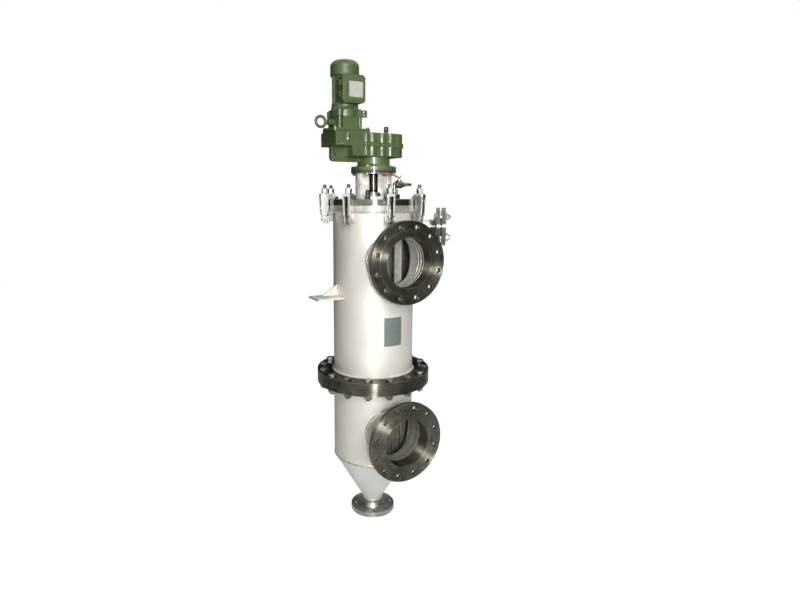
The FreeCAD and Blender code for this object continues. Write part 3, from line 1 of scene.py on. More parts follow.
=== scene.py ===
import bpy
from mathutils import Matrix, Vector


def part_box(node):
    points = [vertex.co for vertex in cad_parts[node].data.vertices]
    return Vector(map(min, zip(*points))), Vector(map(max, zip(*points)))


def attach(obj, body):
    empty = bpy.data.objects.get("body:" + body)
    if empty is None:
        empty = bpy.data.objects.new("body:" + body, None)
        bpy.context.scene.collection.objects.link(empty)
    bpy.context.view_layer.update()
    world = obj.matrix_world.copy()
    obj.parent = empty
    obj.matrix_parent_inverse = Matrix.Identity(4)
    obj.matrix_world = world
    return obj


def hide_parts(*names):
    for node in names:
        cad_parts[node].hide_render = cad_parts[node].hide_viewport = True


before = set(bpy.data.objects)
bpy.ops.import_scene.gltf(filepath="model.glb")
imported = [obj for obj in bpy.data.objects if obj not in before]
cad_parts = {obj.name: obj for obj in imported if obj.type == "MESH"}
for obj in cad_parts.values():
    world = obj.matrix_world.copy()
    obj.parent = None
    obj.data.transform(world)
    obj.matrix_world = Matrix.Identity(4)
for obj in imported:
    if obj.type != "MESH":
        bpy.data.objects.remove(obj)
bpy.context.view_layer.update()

import math
import bpy
from mathutils import Matrix, Vector

# Camera, a wide lens at the height of the cover that looks slightly down at the vessel, with
# its picture moved a little off the lens axis.
camera_place = (-1.196, -2.179, 1.457)
camera_azimuth = math.radians(28.54)
camera_pitch = math.radians(-8.19)
camera_roll = math.radians(0.13)
camera_data = bpy.data.cameras.new("camera")
camera_data.sensor_width = 36.0
camera_data.lens = 25.27
camera_data.shift_x = 0.0361
camera_data.shift_y = -0.0295
camera_data.clip_end = 100.0
camera = bpy.data.objects.new("camera", camera_data)
bpy.context.scene.collection.objects.link(camera)
aim = Matrix.Rotation(-camera_azimuth, 4, "Z") \
    @ Matrix.Rotation(math.pi / 2 + camera_pitch, 4, "X")
camera.matrix_world = Matrix.Translation(camera_place) @ aim @ Matrix.Rotation(camera_roll, 4, "Z")
bpy.context.scene.camera = camera
bpy.context.scene.view_settings.view_transform = "Standard"


# Studio floor and surroundings, a white sweep that keeps the vessel's soft shadow, and a
# white room that metal shows as well.
def new_finish(name):
    """New material with its node tree and its shader."""
    material = bpy.data.materials.new(name)
    material.use_nodes = True
    tree = material.node_tree
    return material, tree, tree.nodes["Principled BSDF"]


def feed(node, feeds):
    """Gives each socket of a node, by name or number, a value or another node's output."""
    for socket, source in feeds.items():
        if isinstance(source, bpy.types.NodeSocket):
            node.id_data.links.new(source, node.inputs[socket])
        else:
            node.inputs[socket].default_value = source


def layer(tree, kind, output, feeds, **settings):
    """One layer of a finish, a node with its settings and feeds, given as its output socket."""
    node = tree.nodes.new(kind)
    for setting, value in settings.items():
        setattr(node, setting, value)
    feed(node, feeds)
    return node.outputs[output]


def reckoned(tree, operation, *amounts):
    """What an operation makes of one to three amounts."""
    return layer(tree, "ShaderNodeMath", 0, dict(enumerate(amounts)), operation=operation)


def spread(tree, amount, low, high, amount_low=0.0, amount_high=1.0):
    """Amount moved from its own range to one from low to high."""
    return layer(tree, "ShaderNodeMapRange", 0,
                 {"Value": amount, "From Min": amount_low, "From Max": amount_high,
                  "To Min": low, "To Max": high})


floor_half = 9
floor_corners = [(-floor_half, -floor_half, 0), (floor_half, -floor_half, 0),
                 (floor_half, floor_half, 0), (-floor_half, floor_half, 0)]
floor_mesh = bpy.data.meshes.new("floor")
floor_mesh.from_pydata(floor_corners, [], [(0, 1, 2, 3)])
floor = bpy.data.objects.new("floor", floor_mesh)
bpy.context.scene.collection.objects.link(floor)
floor.location.z = -0.0005
floor_finish, tree, shader = new_finish("white_sweep")
feed(shader, {"Base Color": (0.46, 0.46, 0.46, 1), "Roughness": 0.9})
path = tree.nodes.new("ShaderNodeLightPath").outputs
glow = layer(tree, "ShaderNodeEmission", 0, {"Color": (1, 1, 1, 1), "Strength": 1.45})
glow_in_metal = reckoned(tree, "MULTIPLY", path["Is Glossy Ray"], 0.36)
glow_share = reckoned(tree, "MULTIPLY_ADD", path["Is Camera Ray"], 0.67, glow_in_metal)
lit = layer(tree, "ShaderNodeMixShader", 0, {"Fac": glow_share, 1: shader.outputs[0], 2: glow})
feed(tree.nodes["Material Output"], {"Surface": lit})
floor_mesh.materials.append(floor_finish)

world = bpy.data.worlds.new("room")
bpy.context.scene.world = world
world.use_nodes = True
tree = world.node_tree
path = tree.nodes.new("ShaderNodeLightPath").outputs
seen = reckoned(tree, "MAXIMUM", path["Is Camera Ray"], path["Is Glossy Ray"])
seen_through = reckoned(tree, "MAXIMUM", seen, path["Is Transmission Ray"])
feed(tree.nodes["Background"], {"Color": (1, 1, 1, 1),
                                "Strength": spread(tree, seen_through, low=0.035, high=1.0)})


# Lamps, a large soft box right of the camera, a flash behind it, a low box on the left, one
# above, one at the back and a spot on the lantern, and cards, dark cloths and a flash, that
# only metal shows.
def soft_box(name, place, target, width, height, power):
    """Soft box at a place, aimed at a target, that metal doesn't show."""
    lamp = bpy.data.lights.new(name, "AREA")
    lamp.shape = "RECTANGLE"
    lamp.size = width
    lamp.size_y = height
    lamp.energy = power
    box = bpy.data.objects.new(name, lamp)
    bpy.context.scene.collection.objects.link(box)
    direction = Vector(target) - Vector(place)
    box.rotation_euler = direction.to_track_quat("-Z", "Y").to_euler()
    box.location = place
    box.visible_glossy = False


soft_box("key_box", (-1.1, -4.35, 2.3), (0, 0, 1.2), 1.4, 2.4, 180)
soft_box("flash_box", (-2.1, -4.53, 2.0), (0, 0, 1.1), 0.4, 0.6, 60)
soft_box("left_box", (-4.2, -1.0, 1.6), (0, 0, 1.2), 0.7, 2.2, 1.5)
soft_box("top_box", (0.4, -1.4, 4.6), (0, 0, 1.4), 1.6, 1.6, 36)
soft_box("back_box", (2.6, 3.7, 2.1), (0, 0, 1.1), 1.4, 2.4, 95)

spot_data = bpy.data.lights.new("lantern_spot", "SPOT")
spot_data.energy = 520
spot_data.spot_size = math.radians(3.6)
spot_data.spot_blend = 0.5
spot_data.shadow_soft_size = 0.06
spot = bpy.data.objects.new("lantern_spot", spot_data)
bpy.context.scene.collection.objects.link(spot)
spot.location = (-1.62, -2.95, 1.50)
spot.rotation_euler = (-spot.location).xy.to_3d().to_track_quat("-Z", "Y").to_euler()
spot.visible_glossy = False


def upright_card(name, azimuth, width, low, high, distance, finish):
    """Upright card at an azimuth counted from -Y, seen only in what polished metal shows."""
    angle = math.radians(azimuth)
    centre = Vector((distance * math.sin(angle), -distance * math.cos(angle), 0))
    side = Vector((math.cos(angle), math.sin(angle), 0)) * width / 2
    corners = [centre - side, centre + side]
    mesh = bpy.data.meshes.new(name)
    mesh.from_pydata([(c.x, c.y, z) for z in (low, high) for c in corners], [], [(0, 1, 3, 2)])
    mesh.materials.append(finish)
    card = bpy.data.objects.new(name, mesh)
    bpy.context.scene.collection.objects.link(card)
    card.visible_camera = False
    card.visible_shadow = False
    card.visible_diffuse = False


cloth, tree, shader = new_finish("dark_cloth")
feed(shader, {"Base Color": (0.030, 0.028, 0.022, 1), "Roughness": 1.0})
upright_card("cloth_right", 70, 7.0, 0.0, 3.4, 3.2, cloth)
upright_card("cloth_left", -135, 6.0, 0.0, 3.4, 3.2, cloth)
upright_card("cloth_back", 160, 5.0, 0.0, 3.4, 3.6, cloth)
flash, tree, shader = new_finish("flash_card")
feed(shader, {"Base Color": (0, 0, 0, 1), "Emission Color": (1.0, 0.99, 0.96, 1),
              "Emission Strength": 640.0})
upright_card("card_flash", -25, 0.24, 1.62, 2.3, 5.0, flash)


# Barrels, cone and branch pipes, stainless sheet rolled and welded and then blasted with
# glass beads, which leaves a warm matt grey with faint cloudy patches.
def wear(finish_material, *names):
    """Puts a finish on nodes of the CAD model."""
    for name in names:
        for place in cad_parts[name].material_slots:
            place.material = finish_material


def own_place(tree):
    """Where a point of the surface lies on the vessel, in metres."""
    return layer(tree, "ShaderNodeTexCoord", "Object", {})


def along(tree, place, direction):
    """How far a place lies along X, Y or Z."""
    return layer(tree, "ShaderNodeSeparateXYZ", direction, {0: place})


def noise(tree, place, scale, detail=2.0, roughness=0.5):
    """Amount between 0 and 1 that wanders over the surface."""
    return layer(tree, "ShaderNodeTexNoise", "Fac",
                 {"Vector": place, "Scale": scale, "Detail": detail, "Roughness": roughness})


def two_tone(tree, amount, dark, light, dark_at=0.3, light_at=0.7):
    """Colour that goes from dark to light while the amount goes from dark_at to light_at."""
    tint = tree.nodes.new("ShaderNodeValToRGB")
    feed(tint, {"Fac": amount})
    for stop, at, colour in zip(tint.color_ramp.elements, (dark_at, light_at), (dark, light)):
        stop.position = at
        stop.color = (*colour, 1)
    return tint.outputs["Color"]


def uneven(tree, height, strength, deep, under=None):
    """Surface raised by a height, on top of another uneven surface if one is given."""
    feeds = {"Height": height, "Strength": strength, "Distance": deep}
    if under is not None:
        feeds["Normal"] = under
    return layer(tree, "ShaderNodeBump", "Normal", feeds)


def mixed(tree, amount, first, second, kind="RGBA"):
    """The first where the amount is 0, the second where it is 1."""
    return layer(tree, "ShaderNodeMix", "Result",
                 {"Factor": amount, "A": first, "B": second}, data_type=kind)


def vectors(tree, operation, output, *arrows):
    """What an operation makes of one or two vectors."""
    return layer(tree, "ShaderNodeVectorMath", output, dict(enumerate(arrows)), operation=operation)


def near_axis(tree, place, across, radius):
    """1 within a radius about an axis, with the directions that lie across it, and else 0."""
    reach = vectors(tree, "LENGTH", "Value", vectors(tree, "MULTIPLY", 0, place, across))
    return reckoned(tree, "LESS_THAN", reach, radius)


def lay_over(material, amount, stain_and_painted_shade):
    """Lays a painted shade colour over a finish's own colour where the amount is 1."""
    shader = material.node_tree.nodes["Principled BSDF"]
    own_colour = shader.inputs["Base Color"].links[0].from_socket
    feed(shader, {"Base Color": mixed(material.node_tree, amount, own_colour, stain_and_painted_shade)})


def blasted(name, colour, roughness):
    """Blasted sheet, cloudy and finely pitted."""
    material, tree, shader = new_finish(name)
    place = own_place(tree)
    cloud = noise(tree, place, scale=7.0, detail=6.0, roughness=0.6)
    pits = noise(tree, place, scale=900.0)
    feed(shader, {"Base Color": two_tone(tree, cloud, [c * 0.90 for c in colour], colour),
                  "Normal": uneven(tree, pits, strength=0.12, deep=0.0004),
                  "Roughness": spread(tree, cloud, roughness - 0.05, roughness + 0.07),
                  "Specular IOR Level": 0.20,
                  "Metallic": 0.32})
    return material


shell_r = 0.1778
shell_in_r = 0.1738
inlet_height = 1.190
outlet_height = 0.435

barrel_finish = blasted("blasted_stainless", (0.76, 0.735, 0.67), roughness=0.50)
tree = barrel_finish.node_tree
# Painted shade: the barrels' inner face, where shade falls inside the vessel, is painted a darker
# grey.
inside = near_axis(tree, own_place(tree), (1, 1, 0), shell_in_r + 0.0004)
lay_over(barrel_finish, inside, (0.42, 0.40, 0.36, 1))
# Painted light: the cone's blasted stainless is a lighter copy of the barrels', standing in for
# light that its downward face lacks.
cone_lightened_finish = blasted("blasted_cone_lightened", (0.86, 0.87, 0.83), roughness=0.54)
wear(barrel_finish, "upper_shell", "lower_shell", "side_nozzle_neck", "support_brackets")
wear(cone_lightened_finish, "vessel_cone")

neck_finish = blasted("blasted_necks", (0.77, 0.745, 0.69), roughness=0.50)
tree = neck_finish.node_tree
place = own_place(tree)
# Painted shade inside the outlet's bore: its wall is painted dark grey, banded with rings that are
# turning marks and painted reflections.
from_axis = vectors(tree, "SUBTRACT", 0, place, (0, 0, outlet_height))
bore = near_axis(tree, from_axis, (1, 0, 1), radius=0.1045)
turning = layer(tree, "ShaderNodeTexNoise", "Fac",
                {"W": along(tree, place, "Y"), "Scale": 95.0, "Detail": 3.0}, noise_dimensions="1D")
bore_shade_and_turning_marks = two_tone(tree, turning, (0.16, 0.155, 0.13), (0.36, 0.35, 0.31),
                 dark_at=0.35, light_at=0.65)
lay_over(neck_finish, bore, bore_shade_and_turning_marks)
wear(neck_finish, "nozzle_necks")


# Weld seams, beads of stainless filler that join the cone, the branch pipes, the flanges and
# the brackets to the barrels. Each was laid by hand in small ripples and only brushed after.
def add_piece(name, shape, finish_material, body="vessel", crease=35):
    """Piece of the scene on a body, smooth but for edges sharper than the crease in degrees."""
    points, faces = shape
    mesh = bpy.data.meshes.new(name)
    mesh.from_pydata([tuple(point) for point in points], [], faces)
    mesh.materials.append(finish_material)
    mesh.update()
    for face in mesh.polygons:
        face.use_smooth = True
    mesh.set_sharp_from_angle(angle=math.radians(crease))
    piece = bpy.data.objects.new(name, mesh)
    bpy.context.scene.collection.objects.link(piece)
    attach(piece, body)
    return piece


def round_angles(count):
    """Angles of a number of equal steps round a circle."""
    return [2 * math.pi * i / count for i in range(count)]


def swept(path, outs, wide, high, closed=True, ripple=0.0):
    """Rope along a path, wide across it and high along outs, swollen into ripples."""
    around = 8
    points, faces = [], []
    count = len(path)
    for i, (place, out) in enumerate(zip(path, outs)):
        ahead = path[(i + 1) % count] if closed or i < count - 1 else place
        behind = path[i - 1] if closed or i > 0 else place
        onward = (ahead - behind).normalized()
        out = (out - onward * out.dot(onward)).normalized()
        across = onward.cross(out)
        swell = 1.0 + ripple * math.sin(2 * math.pi * i / 4)
        for turn in round_angles(around):
            points.append(place + across * wide * math.cos(turn)
                          + out * high * swell * math.sin(turn))
    for i in range(count if closed else count - 1):
        for k in range(around):
            a, b = i * around + k, i * around + (k + 1) % around
            c = ((i + 1) % count) * around
            faces.append((a, b, c + (k + 1) % around, c + k))
    if not closed:
        faces.append(tuple(range(around)))
        faces.append(tuple(reversed(range((count - 1) * around, count * around))))
    return points, faces


weld_finish, tree, shader = new_finish("brushed_weld")
place = own_place(tree)
heat = noise(tree, place, scale=55.0, detail=5.0)
scratches = noise(tree, place, scale=1500.0)
feed(shader, {"Base Color": two_tone(tree, heat, (0.30, 0.27, 0.22), (0.56, 0.53, 0.47)),
              "Normal": uneven(tree, scratches, strength=0.25, deep=0.0003),
              "Metallic": 0.8,
              "Roughness": 0.42})
# Painted shadow: the weld root is a near-black copy of the weld finish, for the shadow in the
# neck's inner joint and between the inlet's rings.
shadow_root_finish = weld_finish.copy()
shadow_root_finish.name = "weld_root_painted_shadow"
for stop in shadow_root_finish.node_tree.nodes["Color Ramp"].color_ramp.elements:
    stop.color = [c * 0.10 for c in stop.color[:3]] + [1]

ripple_step = 0.0011
bead_ripple = 0.12
butt_bead = (0.0034, 0.0012)
stub_bead = (0.0028, 0.0011)
corner_bead = (0.0046, 0.0012)
saddle_bead = (0.0050, 0.0018)
root_bead = (0.0036, 0.0018)
gusset_bead = (0.0038, 0.0016)
curved_bead = (0.0042, 0.0016)


def level_seam(name, radius, height, bead, tilt=0.0):
    """Bead on an upright cylinder or, with a tilt, in the corner over a flange."""
    turns = round_angles(int(2 * math.pi * radius / ripple_step / 4) * 4)
    path = [Vector((radius * math.cos(a), radius * math.sin(a), height)) for a in turns]
    outs = [Vector((math.cos(a), math.sin(a), tilt)) for a in turns]
    add_piece(name, swept(path, outs, *bead, ripple=bead_ripple), weld_finish)


stub_r, stub_low, stub_high, cone_top = 0.04445, 0.050, 0.060, 0.285
flange_low, flange_high, ring_foot = 0.629, 0.685, 1.391
into_corner = 0.0024
level_seam("cone_seam", shell_r, cone_top, butt_bead)
level_seam("stub_seam_low", stub_r, stub_low, stub_bead)
level_seam("stub_seam_high", stub_r, stub_high, stub_bead)
level_seam("ring_seam", shell_r + into_corner, ring_foot - into_corner, corner_bead, -1.0)
level_seam("upper_flange_seam", shell_r + into_corner, flange_high + into_corner, corner_bead, 1.0)
level_seam("lower_flange_seam", shell_r + into_corner, flange_low - into_corner, corner_bead, -1.0)


def branch_seams(name, pipe_r, azimuth, height, hub_out, bore_r=0.0):
    """Saddle bead where a branch pipe meets the barrel, the bead at its flange's hub and, given the
    bore, the root of the saddle bead on the inside, heat stained and painted near black as the
    shadow in that joint."""
    stand = Matrix.Translation((0, 0, height)) @ Matrix.Rotation(azimuth, 4, "Z")
    facing = stand.to_3x3()
    saddle, saddle_outs, hub, hub_outs, root, root_outs = [], [], [], [], [], []
    for a in round_angles(int(2 * math.pi * pipe_r / ripple_step / 4) * 4):
        radial = Vector((math.cos(a), 0, math.sin(a)))
        x, z = pipe_r * math.cos(a), pipe_r * math.sin(a)
        depth = math.sqrt(shell_r ** 2 - x ** 2)
        on_shell = Vector((x, -depth, 0)) / shell_r
        saddle.append(stand @ (Vector((x, -depth, z)) + (on_shell + radial) * 0.0016))
        saddle_outs.append(facing @ (on_shell + radial))
        hub.append(stand @ Vector((x, -hub_out, z)))
        hub_outs.append(facing @ radial)
        root_depth = math.sqrt(shell_in_r ** 2 - (bore_r * radial.x) ** 2)
        root.append(stand @ (radial * bore_r - Vector((0, root_depth, 0))))
        root_outs.append(facing @ -radial)
    shape = swept(saddle, saddle_outs, *saddle_bead, ripple=bead_ripple)
    add_piece(name + "_saddle_seam", shape, weld_finish)
    shape = swept(hub, hub_outs, *butt_bead, ripple=bead_ripple)
    add_piece(name + "_hub_seam", shape, weld_finish)
    if bore_r:
        shape = swept(root, root_outs, *root_bead, ripple=0.10)
        add_piece(name + "_root_seam", shape, shadow_root_finish)


branch_r, branch_bore_r, branch_hub = 0.10955, 0.10325, 0.238
spare_r, spare_hub, spare_height, spare_angle = 0.03015, 0.248, 1.323, math.radians(56.25)
branch_seams("inlet", branch_r, 0.0, inlet_height, branch_hub, branch_bore_r)
branch_seams("outlet", branch_r, 0.0, outlet_height, branch_hub, branch_bore_r)
branch_seams("spare_branch", spare_r, spare_angle, spare_height, spare_hub)

# Rings inside the inlet's mouth, three raised and bright ones with two low ones between, painted
# near black as shade.
for number, depth in enumerate((0.2080, 0.2175, 0.2270, 0.2365, 0.2460)):
    outs = [Vector((-math.cos(a), 0, -math.sin(a))) for a in round_angles(180)]
    path = [Vector((0, -depth, inlet_height)) - out * branch_bore_r for out in outs]
    ridge = number % 2 == 0
    shape = swept(path, outs, 0.0024, 0.0026 if ridge else 0.0008)
    add_piece("inlet_ridge_%d" % (number + 1), shape, weld_finish if ridge else shadow_root_finish)


def bracket_bead(name, path, outs, bead):
    """Short open bead of a support bracket."""
    shape = swept(path, outs, *bead, closed=False, ripple=bead_ripple)
    add_piece(name, shape, weld_finish)


def straight_seam(name, start, end, out):
    """Bracket's bead along a straight corner from start to end."""
    start, end = Vector(start), Vector(end)
    steps = max(4, int((end - start).length / ripple_step))
    path = [start.lerp(end, i / steps) for i in range(steps + 1)]
    bracket_bead(name, path, [Vector(out)] * (steps + 1), gusset_bead)


def curved_seam(name, side, height, half_width, up):
    """Bead on the barrel along a bracket's plate, side 1 for +X and -1 for -X."""
    reach = math.asin(half_width / shell_r)
    steps = int(2 * reach * shell_r / ripple_step)
    turns = [reach * (2 * i / steps - 1) for i in range(steps + 1)]
    proud_r = shell_r + 0.0015
    path = [Vector((side * proud_r * math.cos(a), proud_r * math.sin(a), height + up * 0.0015))
            for a in turns]
    outs = [Vector((side * math.cos(a), math.sin(a), up)) for a in turns]
    bracket_bead(name, path, outs, curved_bead)


bracket_top, bracket_foot, bracket_half = 1.0265, 1.018, 0.050
gusset_low, gusset_high, gusset_face = 1.029, 1.0765, 0.0052
web_height, web_end = 1.0277, 0.250
for side, word in ((1, "right"), (-1, "left")):
    curved_seam("bracket_seam_top_" + word, side, bracket_top, bracket_half, 1)
    curved_seam("bracket_seam_low_" + word, side, bracket_foot, bracket_half, -1)
    for face, end in ((-1, "_front"), (1, "_back")):
        y = face * gusset_face
        straight_seam("gusset_seam_" + word + end, (side * (shell_r + 0.0012), y, gusset_low),
                      (side * (shell_r + 0.0012), y, gusset_high), (side, face, 0))
        straight_seam("web_seam_" + word + end, (side * (shell_r + 0.004), y, web_height),
                      (side * web_end, y, web_height), (0, face, 1))


# Flanges, top ring and cover, forged or cut from stainless plate and faced on a lathe, so
# that fine circular grooves draw the light out into spokes.
between_nozzles = 0.8


def soft_edges(tree, radius):
    """Surface with its edges rounded to a radius."""
    return layer(tree, "ShaderNodeBevel", "Normal", {"Radius": radius}, samples=6)


def lightened_edges(tree, soft_edge, skin, bright, first_at, full_at, most=1.0):
    """Skin lightened to a bright colour where the surface turns away from its rounded form: rubbed
    wear on castings and forged parts, painted highlight on turned edges.
    """
    surface = layer(tree, "ShaderNodeNewGeometry", "Normal", {})
    flatness = vectors(tree, "DOT_PRODUCT", "Value", soft_edge, surface)
    rubbed = spread(tree, flatness, 0.0, most, first_at, full_at)
    return mixed(tree, rubbed, skin, (*[min(1.0, c) for c in bright], 1))


def turned(name, colour, roughness, axis=(0, 0, 1), centre=(0, 0, 0), upper_centre=None,
           low_painted_light=1.0, metal=1.0, streak=1.0):
    """Lathe finish about an axis. Above the height between the nozzles it turns about the upper
    centre, if that is given, and below that height it may be brighter by a gain, as painted light."""
    material, tree, shader = new_finish(name)
    place = own_place(tree)
    above = reckoned(tree, "GREATER_THAN", along(tree, place, "Z"), between_nozzles)
    middle = mixed(tree, above, centre, upper_centre or centre, "VECTOR")
    arm = vectors(tree, "SUBTRACT", 0, place, middle)
    round_it = vectors(tree, "CROSS_PRODUCT", 0, axis, arm)
    surface = layer(tree, "ShaderNodeNewGeometry", "Normal", {})
    across = vectors(tree, "CROSS_PRODUCT", 0, surface, round_it)
    groove_place = layer(tree, "ShaderNodeCombineXYZ", 0,
                         {"X": vectors(tree, "LENGTH", "Value", round_it),
                          "Y": vectors(tree, "DOT_PRODUCT", "Value", axis, arm)})
    groove = noise(tree, groove_place, scale=420.0, detail=4.0)
    tint = two_tone(tree, groove, [c * 0.80 for c in colour], colour, dark_at=0.25, light_at=0.75)
    cloud = noise(tree, place, scale=26.0, detail=5.0)
    patchy = spread(tree, cloud, low=0.72, high=1.30, amount_low=0.35, amount_high=0.65)
    gain = spread(tree, above, low=low_painted_light, high=1.0)
    shade = reckoned(tree, "MULTIPLY", patchy, gain)
    skin = layer(tree, "ShaderNodeVectorMath", 0, {0: tint, "Scale": shade}, operation="SCALE")
    soft_edge = soft_edges(tree, radius=0.0025)
    # Painted highlight: a bright line along the edges of the turned parts.
    bright = [c * 1.6 + 0.22 for c in colour]
    feed(shader, {"Base Color": lightened_edges(tree, soft_edge, skin, bright,
                                             first_at=0.99, full_at=0.85),
                  "Normal": uneven(tree, groove, strength=0.16, deep=0.0003),
                  "Tangent": vectors(tree, "NORMALIZE", 0, across),
                  "Metallic": metal,
                  "Roughness": roughness,
                  "Anisotropic": streak})
    return material


turned_colour = (0.112, 0.107, 0.082)
# Painted light: the lower nozzle's face is brightened by the gain below the height between the
# nozzles.
nozzle_face_finish = turned("turned_nozzle_flanges", turned_colour, roughness=0.39,
                            axis=(0, 1, 0), centre=(0, 0, outlet_height),
                            upper_centre=(0, 0, inlet_height), low_painted_light=1.35)
round_finish = turned("turned_round_vessel", turned_colour, roughness=0.38)
# Painted light: the drain flange's turned steel is a lighter copy of the other flanges'.
drain_lightened_finish = turned("turned_drain_flange_lightened", (0.40, 0.395, 0.36), roughness=0.42, streak=0.6)
ring_finish = turned("satin_top_ring", (0.76, 0.74, 0.67), roughness=0.42, metal=0.78)
cover_finish = turned("bright_cover", (0.24, 0.235, 0.20), roughness=0.24)
spare_axis = (math.sin(spare_angle), -math.cos(spare_angle), 0)
spare_finish = turned("turned_spare_nozzle", (0.27, 0.26, 0.23), roughness=0.33,
                      axis=spare_axis, centre=(0, 0, spare_height))
wear(nozzle_face_finish, "nozzle_flanges")
wear(round_finish, "body_flanges")
wear(drain_lightened_finish, "drain_flange")
wear(ring_finish, "top_ring")
wear(cover_finish, "cover_plate")
wear(spare_finish, "side_nozzle_flange", "side_blind_cover")


# Body flange bolts, sixteen M20 hexagon bolts dropped in from above with nuts below. Forged
# heads with a turned chamfer and a washer face, cut threads, a dark zinc skin.
sides = 24
chamfer_share = 0.475


def level(radius, height):
    """Level ring of points about Z."""
    return [(radius * math.cos(a), radius * math.sin(a), height) for a in round_angles(sides)]


def hex_edge(flats, height, slope=0.0):
    """Hexagon of points, cut down towards its corners by a chamfer cone."""
    points = []
    for angle in round_angles(sides):
        off = (angle + math.pi / 6) % (math.pi / 3) - math.pi / 6
        radius = flats / 2 / math.cos(off)
        drop = slope * max(0.0, radius - chamfer_share * flats)
        points.append((radius * math.cos(angle), radius * math.sin(angle), height - drop))
    return points


def spin_rings(rings):
    """Closed skin over rings of points that each run anticlockwise about the way ahead."""
    around = len(rings[0])
    points = [point for ring in rings for point in ring]
    faces = [tuple(reversed(range(around)))]
    for row in range(len(rings) - 1):
        for i in range(around):
            a, b = row * around + i, row * around + (i + 1) % around
            faces.append((a, b, b + around, a + around))
    faces.append(tuple(range(len(points) - around, len(points))))
    return points, faces


def hex_head(flats, low, high):
    """Head or nut with a chamfer at its top and a round washer face at its foot."""
    washer = low + 0.0006
    return spin_rings([level(0.47 * flats, low), level(0.47 * flats, washer),
                       hex_edge(flats, washer), hex_edge(flats, high, 0.55),
                       level(chamfer_share * flats, high), level(0.30 * flats, high)])


def threaded(diameter, pitch, low, high, tip_up=True):
    """Rod with a screw thread and a chamfered tip at one end."""
    rows = max(2, int((high - low - pitch) / pitch * 4))
    start = low if tip_up else low + pitch
    rings = []
    for row in range(rows + 1):
        height = start + (high - low - pitch) * row / rows
        ring = []
        for i, angle in enumerate(round_angles(sides)):
            phase = (height / pitch - i / sides) % 1
            radius = diameter / 2 - 0.61 * pitch * (1 - abs(2 * phase - 1))
            ring.append((radius * math.cos(angle), radius * math.sin(angle), height))
        rings.append(ring)
    core = diameter / 2 - 0.9 * pitch
    rings = rings + [level(core, high)] if tip_up else [level(core, low)] + rings
    return spin_rings(rings)


def rod(radius, low, high):
    """Plain round rod."""
    return spin_rings([level(radius, low), level(radius, high)])


def joined(shapes):
    """Several shapes as one."""
    points, faces = [], []
    for shape_points, shape_faces in shapes:
        start = len(points)
        points += [tuple(point) for point in shape_points]
        faces += [tuple(start + i for i in face) for face in shape_faces]
    return points, faces


def placed(shape, stand):
    """Shape moved to where it stands."""
    points, faces = shape
    return [tuple(stand @ Vector(point)) for point in points], faces


def bolt_metal(name, light, dark, roughness, grain, wear_radius, metal=1.0):
    """Turned and forged steel, mottled at the scale of grain, its edges rubbed brighter."""
    material, tree, shader = new_finish(name)
    place = own_place(tree)
    mottle = noise(tree, place, scale=grain, detail=5.0)
    fine = noise(tree, place, scale=grain * 9.0, detail=3.0)
    skin = two_tone(tree, mottle, dark, light, dark_at=0.32, light_at=0.68)
    soft_edge = soft_edges(tree, wear_radius)
    bright = [c * 1.35 for c in light]
    feed(shader, {"Base Color": lightened_edges(tree, soft_edge, skin, bright,
                                             first_at=0.995, full_at=0.90),
                  "Normal": uneven(tree, fine, strength=0.12, deep=0.0002, under=soft_edge),
                  "Roughness": spread(tree, fine, roughness - 0.06, roughness + 0.10),
                  "Metallic": metal})
    return material


def bolt_circle(count, radius, first):
    """Stands of bolts on a circle about Z, the first at an angle in degrees."""
    return [Matrix.Rotation(math.radians(first + 360 * i / count), 4, "Z")
            @ Matrix.Translation((radius, 0, 0)) for i in range(count)]


bolt_finish = bolt_metal("dark_zinc_bolts", (0.30, 0.29, 0.26), (0.10, 0.097, 0.085),
                         roughness=0.32, grain=160, wear_radius=0.0008)
m20_flats, m20_nut_low = 0.030, 0.613
m20_bolt = joined([hex_head(m20_flats, flange_high, 0.6975), rod(0.010, m20_nut_low, 0.6852),
                   hex_head(m20_flats, m20_nut_low, flange_low),
                   threaded(0.020, 0.0025, 0.605, 0.6135, False)])
for i, stand in enumerate(bolt_circle(16, radius=0.230, first=11.25)):
    bolt = add_piece("body_bolt_%02d" % (i + 1), placed(m20_bolt, stand), bolt_finish)
    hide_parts("body_flange_bolts")


# Gaskets and the cover's seal, sheets of dark fibre and rubber cut to rings, a little rough
# at their cut edges, pinched between the flange faces.
gasket_finish, tree, shader = new_finish("gasket_fibre")
fibre = noise(tree, own_place(tree), scale=700.0, detail=6.0)
feed(shader, {"Base Color": two_tone(tree, fibre, (0.012, 0.012, 0.011), (0.055, 0.052, 0.046),
                                     dark_at=0.0, light_at=1.0),
              "Normal": uneven(tree, fibre, strength=0.4, deep=0.0002),
              "Roughness": 0.85})
wear(gasket_finish, "flat_gaskets", "cover_seal")


# Spare nozzle's bolts, four M16 hexagon bolts through its flange and blind cover, heads on
# the barrel's side and nuts outside, bright stainless steel.
bright_bolt_finish = bolt_metal("stainless_bolts", (0.60, 0.59, 0.55), (0.34, 0.33, 0.30),
                                roughness=0.26, grain=140, wear_radius=0.0007)
on_its_side = Matrix.Rotation(math.pi / 2, 4, "X")
m16_flats, m16_r, m16_pitch = 0.024, 0.008, 0.002
head_down = Matrix.Translation((0, 0, 0.275)) @ Matrix.Rotation(math.pi, 4, "X")
m16_bolt = joined([placed(hex_head(m16_flats, 0.0, 0.010), head_down), rod(m16_r, 0.2748, 0.3155),
                   hex_head(m16_flats, 0.315, 0.328),
                   threaded(2 * m16_r, m16_pitch, 0.3275, 0.335)])
outward = Matrix.Translation((0, 0, spare_height)) @ Matrix.Rotation(spare_angle, 4, "Z") \
    @ on_its_side
for i, stand in enumerate(bolt_circle(4, radius=0.0625, first=45)):
    bolt = add_piece("spare_nozzle_bolt_%d" % (i + 1), placed(m16_bolt, outward @ stand),
                     bright_bolt_finish)
    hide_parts("side_nozzle_bolts")


